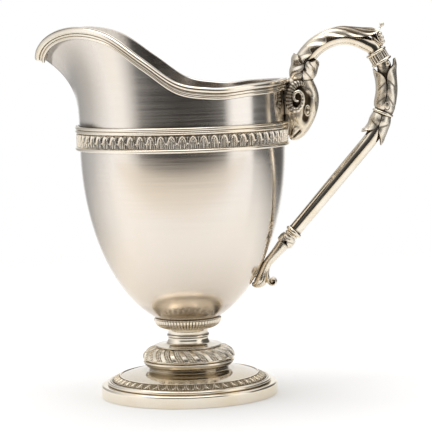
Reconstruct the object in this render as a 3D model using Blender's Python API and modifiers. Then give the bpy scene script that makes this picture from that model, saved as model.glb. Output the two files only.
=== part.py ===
"""Silver cream jug with a ram's-head handle, modelled as the separate pieces it is soldered from.

Metres, +Z up. The jug stands on its plinth at z = 0, its spout points to -X and its handle to +X,
and it is mirror-symmetric about the XZ plane. Pieces are modelled about the axis of the bowl and
hang on one empty, which centres the whole jug over the origin.
"""

import math

import bpy
import numpy as np
from mathutils import Vector

# Fits and sheet
SEAT_GAP = 0.0003
BAND_GAP = 0.0004
LEAF_GAP = 0.0005
LEAF_ROOT = 0.0009
SHEET = 0.0009
LEAF_SHEET = 0.0009

# Foot: plinth, bead, frieze and dome
PLINTH_RADIUS = 0.0356
PLINTH_HEIGHT = 0.0050
PLINTH_WALL = 0.0020
PLINTH_ROUND = 0.0009
FLANGE_THICKNESS = 0.0012
FOOT_BEAD_RADIUS = 0.0007
FOOT_FRIEZE_RUN = 0.0037
FOOT_FRIEZE_RISE = 0.0022
FOOT_FRIEZE_THICKNESS = 0.0008
SKIRT_RADIUS = 0.0315
SKIRT_LIP = 0.0007
DOME_RISE = 0.0028
DRUM_RADIUS = 0.0174
DRUM_FLARE = 0.0012
DRUM_HEIGHT = 0.0010

# Knop and stem
KNOP_WIRE_HEIGHT = 0.0007
KNOP_WIRE_WIDTH = 0.0025
KNOP_RADIUS = 0.0185
KNOP_TOP_RADIUS = 0.0134
KNOP_HEIGHT = 0.0050
KNOP_FOOT_HEIGHT = 0.0010
CAP_RADIUS = 0.0132
CAP_HEIGHT = 0.0018
CAP_EDGE = 0.33
STEM_RADIUS = 0.0086
STEM_WAIST = 0.0005
STEM_HEIGHT = 0.0049
STEM_RING_HEIGHT = 0.0012
STEM_RING_DROP = 0.0018
COLLAR_RADIUS = 0.0136
COLLAR_FLOOR = 0.0006
COLLAR_BORE = 0.0050

# Bowl and frieze band
BOWL_RADIUS = 0.0412
BOWL_DEPTH = 0.0730
BOWL_LIP = 0.0037
BAND_DROP = 0.0008
LOWER_WIRE_RADIUS = 0.00075
STRIP_HEIGHT = 0.0049
STRIP_THICKNESS = 0.0006
UPPER_WIRE_RADIUS = 0.0007

# Neck and spout: heights above the seam, measured at angles from the handle round to the spout
RIM_ANGLES = (0.0, 45.0, 72.0, 90.0, 107.0, 124.0, 139.0, 158.0, 180.0)
RIM_HEIGHTS = (0.0213, 0.0203, 0.0195, 0.0222, 0.0315, 0.0413, 0.0439, 0.0393, 0.0336)
SPOUT_REACH = 0.0572
SPOUT_SWEEP = 2.5
SPOUT_PINCH = 0.36
SPOUT_PINCH_POWER = 3.2
SPOUT_FLARE = 3.4
REED_RADIUS = 0.0008
REED_COUNT = 3
REED_BACK = 0.0006
REED_RISE = 0.0005

# Ram's head: height above the seam, reaches from the neck's wall, and half width
HEAD_SECTIONS = (
    (0.0203, 0.0028, 0.0118, 0.0042),
    (0.0170, 0.0025, 0.0133, 0.0050),
    (0.0142, 0.0004, 0.0139, 0.0053),
    (0.0105, 0.0004, 0.0137, 0.0050),
    (0.0075, 0.0004, 0.0129, 0.0045),
    (0.0052, 0.0025, 0.0119, 0.0040),
    (0.0015, 0.0025, 0.0100, 0.0034),
    (-0.0015, 0.0025, 0.0075, 0.0028),
    (-0.0031, 0.0028, 0.0048, 0.0016),
)
HORN_CENTRE = (0.0062, 0.0134)
HORN_CURL = 0.0033
HORN_TURNS = 1.35
HORN_START = 60.0
HORN_CLOSING = 0.75
HORN_RADIUS = 0.0018
HORN_TIP_RADIUS = 0.0007
HORN_STANDOFF = 0.0075

# Handle: places are (reach from the neck's wall, height above the seam)
ARCH_ROUTE = ((0.0092, 0.0284), (0.0154, 0.0347), (0.0248, 0.0373), (0.0324, 0.0350))
ARCH_RADIUS = 0.0030
CALYX_JUG_LENGTH = 0.0088
CALYX_GRIP_LENGTH = 0.0108
CALYX_SWELL = 0.0010
CALYX_CURL = 0.0022
CALYX_SPREAD = (78, 74, 60, 20)
THUMB_START = 0.0095
THUMB_LEAVE = 0.0279
THUMB_FREE = ((0.0330, 0.0371), (0.0398, 0.0375))
THUMB_CURL = 0.0006
THUMB_SPREAD = (50, 80, 84, 76, 58, 22)
BUD_PLACE = (0.0400, 0.0366)
BUD_RADIUS = 0.0016
BUD_HALF_HEIGHT = 0.0028
GRIP_COLLAR_PLACE = (0.0381, 0.0292)
GRIP_COLLAR_LEAN = 150.5
GRIP_COLLAR_RADIUS = 0.0039
GRIP_COLLAR_LENGTH = 0.0030
GRIP_BEAD_RADIUS = 0.0044
GRIP_BEAD_LENGTH = 0.0009
SHEATH_ROUTE = ((0.0408, 0.0205), (0.0409, 0.0150), (0.0402, 0.0107))
SHEATH_THROAT = 0.0022
SHEATH_RADIUS = 0.0029
SHEATH_CURL = 0.0017
SHEATH_OUTER_LEAF_LENGTH = 0.0203
SHEATH_INNER_LEAF_LENGTH = 0.0160
SHEATH_SPREAD = (80, 80, 74, 56, 22)
SHEATH_RING_PLACE = (0.0393, 0.0069)
SHEATH_RING_LEAN = 202.0
SHEATH_RING_RADIUS = 0.0044
SHEATH_RING_LENGTH = 0.0012
ROD_BEND = ((0.0374, 0.0018), (0.0334, -0.0045))
ROD_TOP_RADIUS = 0.0029
ROD_RADIUS = 0.0027
HUSK_LEAF_LENGTH = 0.0108
HUSK_CURL = 0.0014
ROD_STATIONS = (0.1, 0.55, 1.0)
ROD_RING_LARGE_RADIUS = 0.0035
ROD_RING_LARGE_LENGTH = 0.0016
ROD_RING_SMALL_RADIUS = 0.0028
ROD_RING_SMALL_LENGTH = 0.0010
SCROLL_CUP_RADIUS = 0.0033
SCROLL_CUP_LENGTH = 0.0030
SCROLL_CUP_SWEEP = 65.0

# Scroll foot: angles down the bowl's wall, half thickness and half width
SCROLL_SEATS = (
    (37.5, 0.0021, 0.0027),
    (41.0, 0.0018, 0.0025),
    (44.5, 0.0020, 0.0027),
    (48.0, 0.0026, 0.0033),
    (50.2, 0.0012, 0.0020),
)
SCROLL_TOP_OFFSET = (0.0072, 0.0040)
SCROLL_TOP_HALF = 0.0026
VOLUTE_RADIUS = 0.0017
VOLUTE_HALF_WIDTH = 0.0032
VOLUTE_OVERLAP = 0.0008

# Straight stretch of a tube where it meets a disc, and the step that measures a surface's slope
TUBE_LEAD = 0.0012
SURFACE_STEP = 0.001

# Facets
BODY_STEPS = 40
FOOT_STEPS = 32
STEM_STEPS = 28
SMALL_STEPS = 18
NECK_LEVELS = 9
NECK_CROWDING = 0.6
BOWL_LEVELS = 11
ROUND_POINTS = 4
REED_POINTS = 3
WIRE_POINTS = 6
HORN_POINTS = 16
PATH_POINTS = 12
LEAF_STATIONS = 9
LEAF_COLUMNS = 6
SECTION_SIDES = 14
TUBE_SIDES_RESOLUTION = 2

# Heights that follow from the stack of pieces
SKIRT_BASE = PLINTH_HEIGHT + SEAT_GAP
DOME_BASE = SKIRT_BASE + SKIRT_LIP + FOOT_FRIEZE_RISE
DRUM_BASE = DOME_BASE + DOME_RISE
DRUM_TOP = DRUM_BASE + DRUM_FLARE + DRUM_HEIGHT
KNOP_WIRE_BASE = DRUM_TOP + SEAT_GAP
KNOP_BASE = KNOP_WIRE_BASE + KNOP_WIRE_HEIGHT + SEAT_GAP
CAP_BASE = KNOP_BASE + KNOP_HEIGHT + SEAT_GAP
STEM_BASE = CAP_BASE + CAP_HEIGHT + SEAT_GAP
COLLAR_BASE = STEM_BASE + STEM_HEIGHT + SEAT_GAP
BOWL_CENTRE = COLLAR_BASE + COLLAR_FLOOR + SEAT_GAP + BOWL_DEPTH
SEAM_BASE = BOWL_CENTRE + BOWL_LIP
NECK_BASE = SEAM_BASE + SEAT_GAP
BAND_BASE = BOWL_CENTRE - BAND_DROP
STRIP_BASE = BAND_BASE + 2 * LOWER_WIRE_RADIUS + SEAT_GAP
UPPER_WIRE_BASE = STRIP_BASE + STRIP_HEIGHT + SEAT_GAP
BAND_INNER = BOWL_RADIUS + BAND_GAP

# Finishes: colour, roughness
FINISHES = {
    "satin_silver": ((0.80, 0.77, 0.73), 0.30),
    "bright_silver": ((0.83, 0.79, 0.72), 0.22),
    "cast_silver": ((0.74, 0.66, 0.52), 0.30),
}


def clear_scene():
    """Removes every object that is already in the file."""
    for existing in list(bpy.data.objects):
        bpy.data.objects.remove(existing, do_unlink=True)


def new_collection(name):
    """A collection of this name in the scene."""
    collection = bpy.data.collections.new(name)
    bpy.context.scene.collection.children.link(collection)
    return collection


def finish_material(name, finish):
    """A Principled material for one piece, in one of the jug's finishes."""
    colour, roughness = FINISHES[finish]
    material = bpy.data.materials.new(name)
    material.use_nodes = True
    shader = material.node_tree.nodes["Principled BSDF"]
    shader.inputs["Base Color"].default_value = (*colour, 1.0)
    shader.inputs["Roughness"].default_value = roughness
    shader.inputs["Metallic"].default_value = 1.0
    return material


def add_piece(name, data, finish):
    """Puts mesh or curve data in the jug's collection, as a child of the jug's empty."""
    piece = bpy.data.objects.new(name, data)
    data.materials.append(finish_material(name, finish))
    bpy.data.collections["cream_jug"].objects.link(piece)
    piece.parent = bpy.data.objects["cream_jug"]
    return piece


def mesh_from(name, points, edges, faces):
    """Mesh data from arrays of points, shaded smooth."""
    mesh = bpy.data.meshes.new(name)
    mesh.from_pydata(np.asarray(points, float).tolist(), edges, faces)
    mesh.shade_smooth()
    return mesh


def arc(centre, radii, start, end, count):
    """Points on an elliptic arc in the (radius, height) plane, angles in degrees."""
    turn = np.radians(np.linspace(start, end, count))
    return np.column_stack([centre[0] + radii[0] * np.cos(turn), centre[1] + radii[1] * np.sin(turn)])


def round_wire(centre, radius):
    """Section of a round wire, closed by joining its ends."""
    return arc(centre, (radius, radius), 90, -210, WIRE_POINTS)


def reed_sections(reach, middles, radius):
    """Outer sides of a row of reeds, one under the other, whose centres stand at this reach."""
    sections = [arc((reach, middle), (radius, radius), 60, -60, REED_POINTS) for middle in middles]
    return np.concatenate(sections)


def hermite(times, knots, at):
    """A smooth curve through the knots, with slopes taken from their neighbours."""
    times = np.asarray(times, float)
    knots = np.asarray(knots, float).reshape(len(times), -1)
    slopes = np.gradient(knots, times, axis=0)
    cell = np.clip(np.searchsorted(times, at, side="right") - 1, 0, len(times) - 2)
    span = (times[cell + 1] - times[cell])[:, None]
    s = (at - times[cell])[:, None] / span
    rise = 3 * s**2 - 2 * s**3
    ends = (1 - rise) * knots[cell] + rise * knots[cell + 1]
    return ends + span * ((s**3 - 2 * s**2 + s) * slopes[cell] + (s**3 - s**2) * slopes[cell + 1])


def smooth_path(points, count):
    """Points evenly spaced in chord length on a smooth curve through the given ones."""
    points = np.asarray(points, float)
    times = np.concatenate([[0.0], np.cumsum(np.linalg.norm(np.diff(points, axis=0), axis=1))])
    return hermite(times, points, np.linspace(0.0, times[-1], count))


def led_path(lead_in, points, lead_out):
    """A smooth path whose ends run straight for a short lead, square to what they meet."""
    points = [np.asarray(point, float) for point in points]
    start, end = points[0], points[-1]
    points[-1] = points[-1] - TUBE_LEAD * lead_out
    points[0] = points[0] + TUBE_LEAD * lead_in
    return np.vstack([start, smooth_path(points, PATH_POINTS), end])


def stretch(path, start, end, count):
    """Points evenly spaced on a path between two lengths along it."""
    run = np.concatenate([[0.0], np.cumsum(np.linalg.norm(np.diff(path, axis=0), axis=1))])
    return hermite(run, path, np.linspace(start, end, count))


def smooth_values(values, count):
    """A list of values at equal steps, smoothed out to this many."""
    steps = np.linspace(0.0, 1.0, len(values))
    return hermite(steps, values, np.linspace(0.0, 1.0, count))[:, 0]


def path_frame(path):
    """Unit tangents of a path in the XZ plane, and the normals to their left."""
    tangent = np.gradient(path, axis=0)
    tangent /= np.linalg.norm(tangent, axis=1)[:, None]
    return tangent, np.column_stack([-tangent[:, 1], tangent[:, 0]])


def screw(piece, steps):
    """Turns a profile about its own Z axis."""
    turn = piece.modifiers.new("turn", "SCREW")
    turn.steps = steps
    turn.render_steps = steps
    turn.use_merge_vertices = True
    turn.merge_threshold = 0.00001
    turn.use_smooth_shade = True


def solidify(piece, thickness, offset):
    """Gives an open surface a wall: offset -1 behind its face, 1 in front of it."""
    wall = piece.modifiers.new("wall", "SOLIDIFY")
    wall.thickness = thickness
    wall.offset = offset
    wall.use_even_offset = True


def turned(name, profile, finish, steps, closed=True):
    """A turned piece from (radius, height) points that run down its outer side."""
    profile = np.asarray(profile, float)
    count = len(profile)
    points = np.column_stack([profile[:, 0], np.zeros(count), profile[:, 1]])
    edges = [(i, i + 1) for i in range(count - 1)]
    if closed:
        edges.append((count - 1, 0))
    piece = add_piece(name, mesh_from(name, points, edges, []), finish)
    screw(piece, steps)
    return piece


def turned_along(name, profile, finish, place, direction):
    """A small turned solid whose axis starts at a place of the XZ plane and runs in a direction there."""
    piece = turned(name, profile, finish, SMALL_STEPS, closed=False)
    piece.location = (place[0], 0.0, place[1])
    piece.rotation_mode = "QUATERNION"
    piece.rotation_quaternion = Vector((direction[0], 0.0, direction[1])).to_track_quat("Z", "Y")
    return piece


def grid_faces(rows, columns, wrap_rows, wrap_columns):
    """Quads of a grid of points stored row by row."""
    row = np.arange(rows if wrap_rows else rows - 1)[:, None]
    column = np.arange(columns if wrap_columns else columns - 1)[None, :]
    row_next, column_next = (row + 1) % rows, (column + 1) % columns
    corners = [
        row * columns + column,
        row_next * columns + column,
        row_next * columns + column_next,
        row * columns + column_next,
    ]
    return np.stack(np.broadcast_arrays(*corners), axis=-1).reshape(-1, 4).tolist()


def swept(name, sections, finish):
    """A solid through closed sections of equal size, with a flat cap at each end."""
    rows, columns = sections.shape[:2]
    faces = grid_faces(rows, columns, False, True)
    faces.append(list(range(columns)))
    faces.append([(rows - 1) * columns + i for i in reversed(range(columns))])
    return add_piece(name, mesh_from(name, sections.reshape(-1, 3), [], faces), finish)


def tube(name, path, radii, finish):
    """A round tube or wire along points in space, with a radius at each of them."""
    curve = bpy.data.curves.new(name, "CURVE")
    curve.dimensions = "3D"
    curve.bevel_depth = 1.0
    curve.bevel_resolution = TUBE_SIDES_RESOLUTION
    curve.use_fill_caps = True
    spline = curve.splines.new("POLY")
    spline.points.add(len(path) - 1)
    for point, place, radius in zip(spline.points, path, radii):
        point.co = (*place, 1.0)
        point.radius = radius
    return add_piece(name, curve, finish)


def in_plane(path):
    """Points of the XZ plane as points in space."""
    return np.insert(np.asarray(path, float), 1, 0.0, axis=1)


def leaf(name, spine, side, standoff, spread, finish):
    """A leaf of sheet that wraps one side of a spine in the XZ plane.

    side is 1 on the left of the spine's direction and -1 on its right. standoff is the distance from
    the spine to the sheet and spread the half angle that it wraps, both from root to tip.
    """
    spine = smooth_path(spine, LEAF_STATIONS)
    _, left = path_frame(spine)
    reach = smooth_values(standoff, LEAF_STATIONS)[:, None]
    half_angle = np.radians(smooth_values(spread, LEAF_STATIONS))[:, None]
    turn = half_angle * np.linspace(-side, side, LEAF_COLUMNS)
    out = side * reach * np.cos(turn)
    points = np.stack(
        [
            spine[:, :1] + out * left[:, :1],
            reach * np.sin(turn),
            spine[:, 1:] + out * left[:, 1:],
        ],
        axis=-1,
    )
    faces = grid_faces(LEAF_STATIONS, LEAF_COLUMNS, False, False)
    piece = add_piece(name, mesh_from(name, points.reshape(-1, 3), [], faces), finish)
    solidify(piece, LEAF_SHEET, 1.0)
    return piece


def bowl_point(angle):
    """A point of the bowl's wall and its outward normal, at degrees below the bowl's widest circle."""
    turn = np.radians(angle)
    point = np.array([BOWL_RADIUS * np.cos(turn), BOWL_CENTRE - BOWL_DEPTH * np.sin(turn)])
    normal = np.array([np.cos(turn) / BOWL_RADIUS, -np.sin(turn) / BOWL_DEPTH])
    return point, normal / np.linalg.norm(normal)


def grip_point(place):
    """A place of the handle, given by its reach from the neck's wall and its height above the seam."""
    return np.array([BOWL_RADIUS + place[0], NECK_BASE + place[1]])


def lean_direction(lean):
    """A direction in the XZ plane, in degrees from straight up towards +X."""
    return np.array([math.sin(math.radians(lean)), math.cos(math.radians(lean))])


def build_foot():
    """Plinth, bead, frieze strip and spun dome."""
    flange_inner = SKIRT_RADIUS - SHEET
    wall_inner = PLINTH_RADIUS - PLINTH_WALL
    flange_base = PLINTH_HEIGHT - FLANGE_THICKNESS
    corner = (PLINTH_RADIUS - PLINTH_ROUND, PLINTH_HEIGHT - PLINTH_ROUND)
    shoulder = arc(corner, (PLINTH_ROUND, PLINTH_ROUND), 90, 0, ROUND_POINTS)
    base = [(PLINTH_RADIUS, 0.0), (wall_inner, 0.0)]
    inside = [(wall_inner, flange_base), (flange_inner, flange_base), (flange_inner, PLINTH_HEIGHT)]
    turned("foot_plinth", [*shoulder, *base, *inside], "bright_silver", FOOT_STEPS)

    bead_centre = (SKIRT_RADIUS + SEAT_GAP + FOOT_BEAD_RADIUS, SKIRT_BASE + FOOT_BEAD_RADIUS)
    turned("foot_bead", round_wire(bead_centre, FOOT_BEAD_RADIUS), "bright_silver", FOOT_STEPS)

    slope_low = np.array([SKIRT_RADIUS, SKIRT_BASE + SKIRT_LIP])
    slope_high = np.array([SKIRT_RADIUS - FOOT_FRIEZE_RUN, DOME_BASE])
    outward = np.array([FOOT_FRIEZE_RISE, FOOT_FRIEZE_RUN]) / math.hypot(FOOT_FRIEZE_RISE, FOOT_FRIEZE_RUN)
    under, over = outward * SEAT_GAP, outward * (SEAT_GAP + FOOT_FRIEZE_THICKNESS)
    strip = [slope_high + over, slope_low + over, slope_low + under, slope_high + under]
    turned("foot_frieze", strip, "bright_silver", FOOT_STEPS)

    flare_centre = (DRUM_RADIUS + DRUM_FLARE, DRUM_BASE + DRUM_FLARE)
    flare = arc(flare_centre, (DRUM_FLARE, DRUM_FLARE), 180, 270, ROUND_POINTS)
    top = [(0.0, DRUM_TOP), (DRUM_RADIUS, DRUM_TOP)]
    skirt = [slope_high, slope_low, (SKIRT_RADIUS, SKIRT_BASE)]
    dome = turned("foot_dome", [*top, *flare, *skirt], "bright_silver", FOOT_STEPS, closed=False)
    solidify(dome, SHEET, -1.0)


def build_stem():
    """Flat wire, knop, cap, spool and the fluted cup that takes the bowl."""
    wire_middle = KNOP_WIRE_BASE + KNOP_WIRE_HEIGHT / 2
    wire_round = KNOP_WIRE_HEIGHT / 2
    wire = arc((KNOP_RADIUS - wire_round, wire_middle), (wire_round, wire_round), 90, -90, ROUND_POINTS)
    wire_inner = KNOP_RADIUS - KNOP_WIRE_WIDTH
    inner_side = [(wire_inner, KNOP_WIRE_BASE), (wire_inner, KNOP_WIRE_BASE + KNOP_WIRE_HEIGHT)]
    turned("knop_wire", [*wire, *inner_side], "bright_silver", FOOT_STEPS)

    swell = (KNOP_RADIUS - KNOP_TOP_RADIUS, KNOP_HEIGHT - KNOP_FOOT_HEIGHT)
    ovolo = arc((KNOP_TOP_RADIUS, KNOP_BASE + KNOP_FOOT_HEIGHT), swell, 90, 0, WIRE_POINTS)
    knop_foot = KNOP_RADIUS - KNOP_FOOT_HEIGHT
    knop = [(0.0, KNOP_BASE + KNOP_HEIGHT), *ovolo, (knop_foot, KNOP_BASE), (0.0, KNOP_BASE)]
    turned("knop", knop, "bright_silver", FOOT_STEPS, closed=False)

    cap_top = CAP_BASE + CAP_HEIGHT
    hollow_size = (CAP_RADIUS - STEM_RADIUS, CAP_HEIGHT * (1 - CAP_EDGE))
    hollow = arc((CAP_RADIUS, cap_top), hollow_size, 180, 270, ROUND_POINTS)
    cap = [(0.0, cap_top), *hollow, (CAP_RADIUS, CAP_BASE), (0.0, CAP_BASE)]
    turned("knop_cap", cap, "bright_silver", STEM_STEPS, closed=False)

    stem_top = STEM_BASE + STEM_HEIGHT
    waist = STEM_RADIUS - STEM_WAIST
    ring_middle = stem_top - STEM_RING_DROP
    ring_high = ring_middle + STEM_RING_HEIGHT / 2
    ring_low = ring_middle - STEM_RING_HEIGHT / 2
    ring = arc((waist, ring_middle), (2 * STEM_WAIST, STEM_RING_HEIGHT / 2), 60, -60, ROUND_POINTS)
    upper_hollow = [(STEM_RADIUS, stem_top), (waist, (stem_top + ring_high) / 2), (waist, ring_high)]
    lower_hollow = [(waist, ring_low), (waist, (STEM_BASE + ring_low) / 2), (STEM_RADIUS, STEM_BASE)]
    spool = [(0.0, stem_top), *upper_hollow, *ring, *lower_hollow, (0.0, STEM_BASE)]
    turned("stem_spool", spool, "cast_silver", STEM_STEPS, closed=False)

    seat_ends = np.degrees(np.arccos(np.array([COLLAR_RADIUS, COLLAR_BORE]) / BOWL_RADIUS))
    seats = map(bowl_point, np.linspace(*seat_ends, ROUND_POINTS))
    seat = np.array([point + SEAT_GAP * normal for point, normal in seats])
    lip = seat[0] + (0.0, -SEAT_GAP)
    ovolo_size = (lip[0] + SEAT_GAP - STEM_RADIUS, lip[1] - COLLAR_BASE)
    ovolo = arc((STEM_RADIUS, lip[1]), ovolo_size, 0, -90, WIRE_POINTS)
    collar = [*ovolo, (seat[-1, 0], COLLAR_BASE), *seat[::-1]]
    turned("gadroon_collar", collar, "bright_silver", STEM_STEPS)


def build_body():
    """Bowl and the leaf-tip band with its wires."""
    angles = np.linspace(0.0, 90.0, BOWL_LEVELS)
    wall = [bowl_point(angle)[0] for angle in angles]
    wall[-1][0] = 0.0
    bowl = turned("bowl", [(BOWL_RADIUS, SEAM_BASE), *wall], "satin_silver", BODY_STEPS, closed=False)
    solidify(bowl, SHEET, -1.0)

    wire_centre = (BAND_INNER + LOWER_WIRE_RADIUS, BAND_BASE + LOWER_WIRE_RADIUS)
    turned("frieze_lower_wire", round_wire(wire_centre, LOWER_WIRE_RADIUS), "bright_silver", BODY_STEPS)

    strip_outer = BAND_INNER + STRIP_THICKNESS
    strip_top = STRIP_BASE + STRIP_HEIGHT
    strip_face = [(strip_outer, strip_top), (strip_outer, STRIP_BASE)]
    strip = [*strip_face, (BAND_INNER, STRIP_BASE), (BAND_INNER, strip_top)]
    turned("frieze_strip", strip, "bright_silver", BODY_STEPS)

    middles = UPPER_WIRE_BASE + UPPER_WIRE_RADIUS * np.array([3, 1])
    reeds = reed_sections(BAND_INNER + UPPER_WIRE_RADIUS, middles, UPPER_WIRE_RADIUS)
    back = [(BAND_INNER, UPPER_WIRE_BASE), (BAND_INNER, UPPER_WIRE_BASE + 4 * UPPER_WIRE_RADIUS)]
    turned("frieze_upper_wire", [*reeds, *back], "bright_silver", BODY_STEPS)


def rim_outline(turn):
    """The lip of the neck: plan radius, plan angle and height at turns from the handle round the jug.

    In plan it is a circle drawn out to the spout's reach and pinched towards the tip. Its height
    follows the rim's heights, the same on both sides.
    """
    toward_spout = np.clip(-np.cos(turn), 0.0, None)
    x = BOWL_RADIUS * np.cos(turn) - (SPOUT_REACH - BOWL_RADIUS) * toward_spout**SPOUT_SWEEP
    y = BOWL_RADIUS * np.sin(turn) * (1.0 - SPOUT_PINCH * toward_spout**SPOUT_PINCH_POWER)
    fold = np.degrees(np.arccos(np.cos(turn))).ravel()
    mirrored = (-RIM_ANGLES[1], *RIM_ANGLES, 2 * RIM_ANGLES[-1] - RIM_ANGLES[-2])
    height = hermite(mirrored, (RIM_HEIGHTS[1], *RIM_HEIGHTS, RIM_HEIGHTS[-2]), fold)
    return np.hypot(x, y), np.arctan2(y, x), height.reshape(turn.shape)


def neck_surface(turn, level):
    """Points of the neck's outer wall, from the seam's circle at level 0 to the lip at level 1.

    Each upright line of the wall stays in one plane through the axis. It flares from the circle's
    radius to the lip's as a power of the level, so it leaves the seam upright.
    """
    reach, bearing, height = rim_outline(turn)
    radius = BOWL_RADIUS + (reach - BOWL_RADIUS) * level**SPOUT_FLARE
    across = np.stack([radius * np.cos(bearing), radius * np.sin(bearing)], axis=-1)
    return np.concatenate([across, (NECK_BASE + height * level)[..., None]], axis=-1)


def build_neck():
    """Neck and spout, lofted from the seam's circle to the lip, and the reeded wire round the lip."""
    turn = np.linspace(0.0, 2 * math.pi, BODY_STEPS, endpoint=False)
    level = np.linspace(0.0, 1.0, NECK_LEVELS)[:, None] ** NECK_CROWDING
    points = neck_surface(*np.broadcast_arrays(turn, level))
    faces = [face[::-1] for face in grid_faces(NECK_LEVELS, BODY_STEPS, False, True)]
    wall = mesh_from("neck_spout", points.reshape(-1, 3), [], faces)
    solidify(add_piece("neck_spout", wall, "satin_silver"), SHEET, -1.0)

    middles = REED_RISE - REED_RADIUS * (2 * np.arange(REED_COUNT) + 1)
    reeds = reed_sections(SEAT_GAP + REED_BACK, middles, REED_RADIUS)
    back = np.linspace(REED_RISE - 2 * REED_COUNT * REED_RADIUS, REED_RISE, REED_COUNT)
    section = np.concatenate([reeds, np.column_stack([np.full(REED_COUNT, SEAT_GAP), back])])
    lip = np.ones(BODY_STEPS)
    slope = neck_surface(turn, lip) - neck_surface(turn, lip - SURFACE_STEP)
    speed = np.linalg.norm(slope, axis=1)[:, None] / SURFACE_STEP
    at_turn, at_level = np.broadcast_arrays(turn[:, None], 1 + section[:, 1] / speed)
    along = neck_surface(at_turn + SURFACE_STEP, at_level) - neck_surface(at_turn - SURFACE_STEP, at_level)
    up = neck_surface(at_turn, at_level + SURFACE_STEP) - neck_surface(at_turn, at_level - SURFACE_STEP)
    out = np.cross(along, up)
    out /= np.linalg.norm(out, axis=-1)[..., None]
    ring = neck_surface(at_turn, at_level) + section[:, :1] * out
    faces = [face[::-1] for face in grid_faces(BODY_STEPS, len(section), True, True)]
    add_piece("rim_moulding", mesh_from("rim_moulding", ring.reshape(-1, 3), [], faces), "bright_silver")


def build_ram_head():
    """The cast head, lofted down from its neck to its muzzle, and a curled horn on each side."""
    turn = np.linspace(0.0, 2 * math.pi, SECTION_SIDES, endpoint=False)
    height, inner, outer, half_width = np.array(HEAD_SECTIONS).T[:, :, None]
    middle, half_depth = (inner + outer) / 2, (outer - inner) / 2
    sections = np.stack(
        [
            BOWL_RADIUS + middle + half_depth * np.cos(turn),
            half_width * np.sin(turn),
            np.broadcast_to(NECK_BASE + height, (len(HEAD_SECTIONS), SECTION_SIDES)),
        ],
        axis=-1,
    )
    swept("ram_head", sections, "cast_silver")

    along = np.linspace(0.0, 1.0, HORN_POINTS)
    curl = 2 * math.pi * HORN_TURNS * along + math.radians(HORN_START)
    radius = HORN_CURL * (1.0 - HORN_CLOSING * along)
    centre = grip_point(HORN_CENTRE)
    for name, side in (("ram_horn_left", -1), ("ram_horn_right", 1)):
        path = np.column_stack(
            [
                centre[0] + radius * np.cos(curl),
                side * (HORN_STANDOFF + HORN_RADIUS * along),
                centre[1] + radius * np.sin(curl),
            ]
        )
        tube(name, path, np.linspace(HORN_RADIUS, HORN_TIP_RADIUS, len(path)), "cast_silver")


def plain_disc(radius, low, high):
    """Profile of a plain cylinder that stands on its axis between two heights."""
    return [(0.0, high), (radius, high), (radius, low), (0.0, low)]


def rounded_disc(radius, length):
    """Profile of a disc with a rounded edge, standing on its axis from 0 to its length."""
    edge = arc((radius - length / 2, length / 2), (length / 2, length / 2), 90, -90, ROUND_POINTS)
    return [(0.0, length), *edge, (0.0, 0.0)]


def build_arch():
    """Calyx leaves, arched tube, thumb leaf and bud, and the collar between its beads."""
    axis = lean_direction(GRIP_COLLAR_LEAN)
    collar_start = grip_point(GRIP_COLLAR_PLACE) - axis * GRIP_COLLAR_LENGTH / 2
    bead_start = collar_start - axis * (SEAT_GAP + GRIP_BEAD_LENGTH)
    arch_end = bead_start - axis * SEAT_GAP
    head_top, head_inner, head_outer, _ = HEAD_SECTIONS[0]
    arch_start = grip_point(((head_inner + head_outer) / 2, head_top + SEAT_GAP))
    path = led_path(lean_direction(0.0), [arch_start, *map(grip_point, ARCH_ROUTE), arch_end], axis)
    tube("arch_tube", in_plane(path), np.full(len(path), ARCH_RADIUS), "cast_silver")

    bead = rounded_disc(GRIP_BEAD_RADIUS, GRIP_BEAD_LENGTH)
    barrel = plain_disc(GRIP_COLLAR_RADIUS, 0.0, GRIP_COLLAR_LENGTH)
    collar_end = collar_start + axis * (GRIP_COLLAR_LENGTH + SEAT_GAP)
    turned_along("collar_bead_upper", bead, "cast_silver", bead_start, axis)
    turned_along("handle_collar", barrel, "cast_silver", collar_start, axis)
    turned_along("collar_bead_lower", bead, "cast_silver", collar_end, axis)

    clear = ARCH_RADIUS + LEAF_GAP
    standoff = (clear, clear + CALYX_SWELL, clear + CALYX_SWELL, clear + CALYX_CURL)
    jug_side = stretch(path, LEAF_ROOT, CALYX_JUG_LENGTH, LEAF_STATIONS)
    grip_side = stretch(path, LEAF_ROOT, CALYX_GRIP_LENGTH, LEAF_STATIONS)
    leaf("calyx_leaf_jug", jug_side, 1, standoff, CALYX_SPREAD, "cast_silver")
    leaf("calyx_leaf_grip", grip_side, -1, standoff, CALYX_SPREAD, "cast_silver")

    standoff = (clear, clear, clear, clear, clear, clear + THUMB_CURL)
    thumb = [*stretch(path, THUMB_START, THUMB_LEAVE, PATH_POINTS), *map(grip_point, THUMB_FREE)]
    leaf("thumb_leaf", thumb, 1, standoff, THUMB_SPREAD, "cast_silver")
    bud = arc((0.0, 0.0), (BUD_RADIUS, BUD_HALF_HEIGHT), 90, -90, WIRE_POINTS)
    bud[[0, -1], 0] = 0.0
    turned_along("thumb_bud", bud, "cast_silver", grip_point(BUD_PLACE), (0.0, 1.0))
    return collar_end + axis * (GRIP_BEAD_LENGTH + SEAT_GAP)


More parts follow.
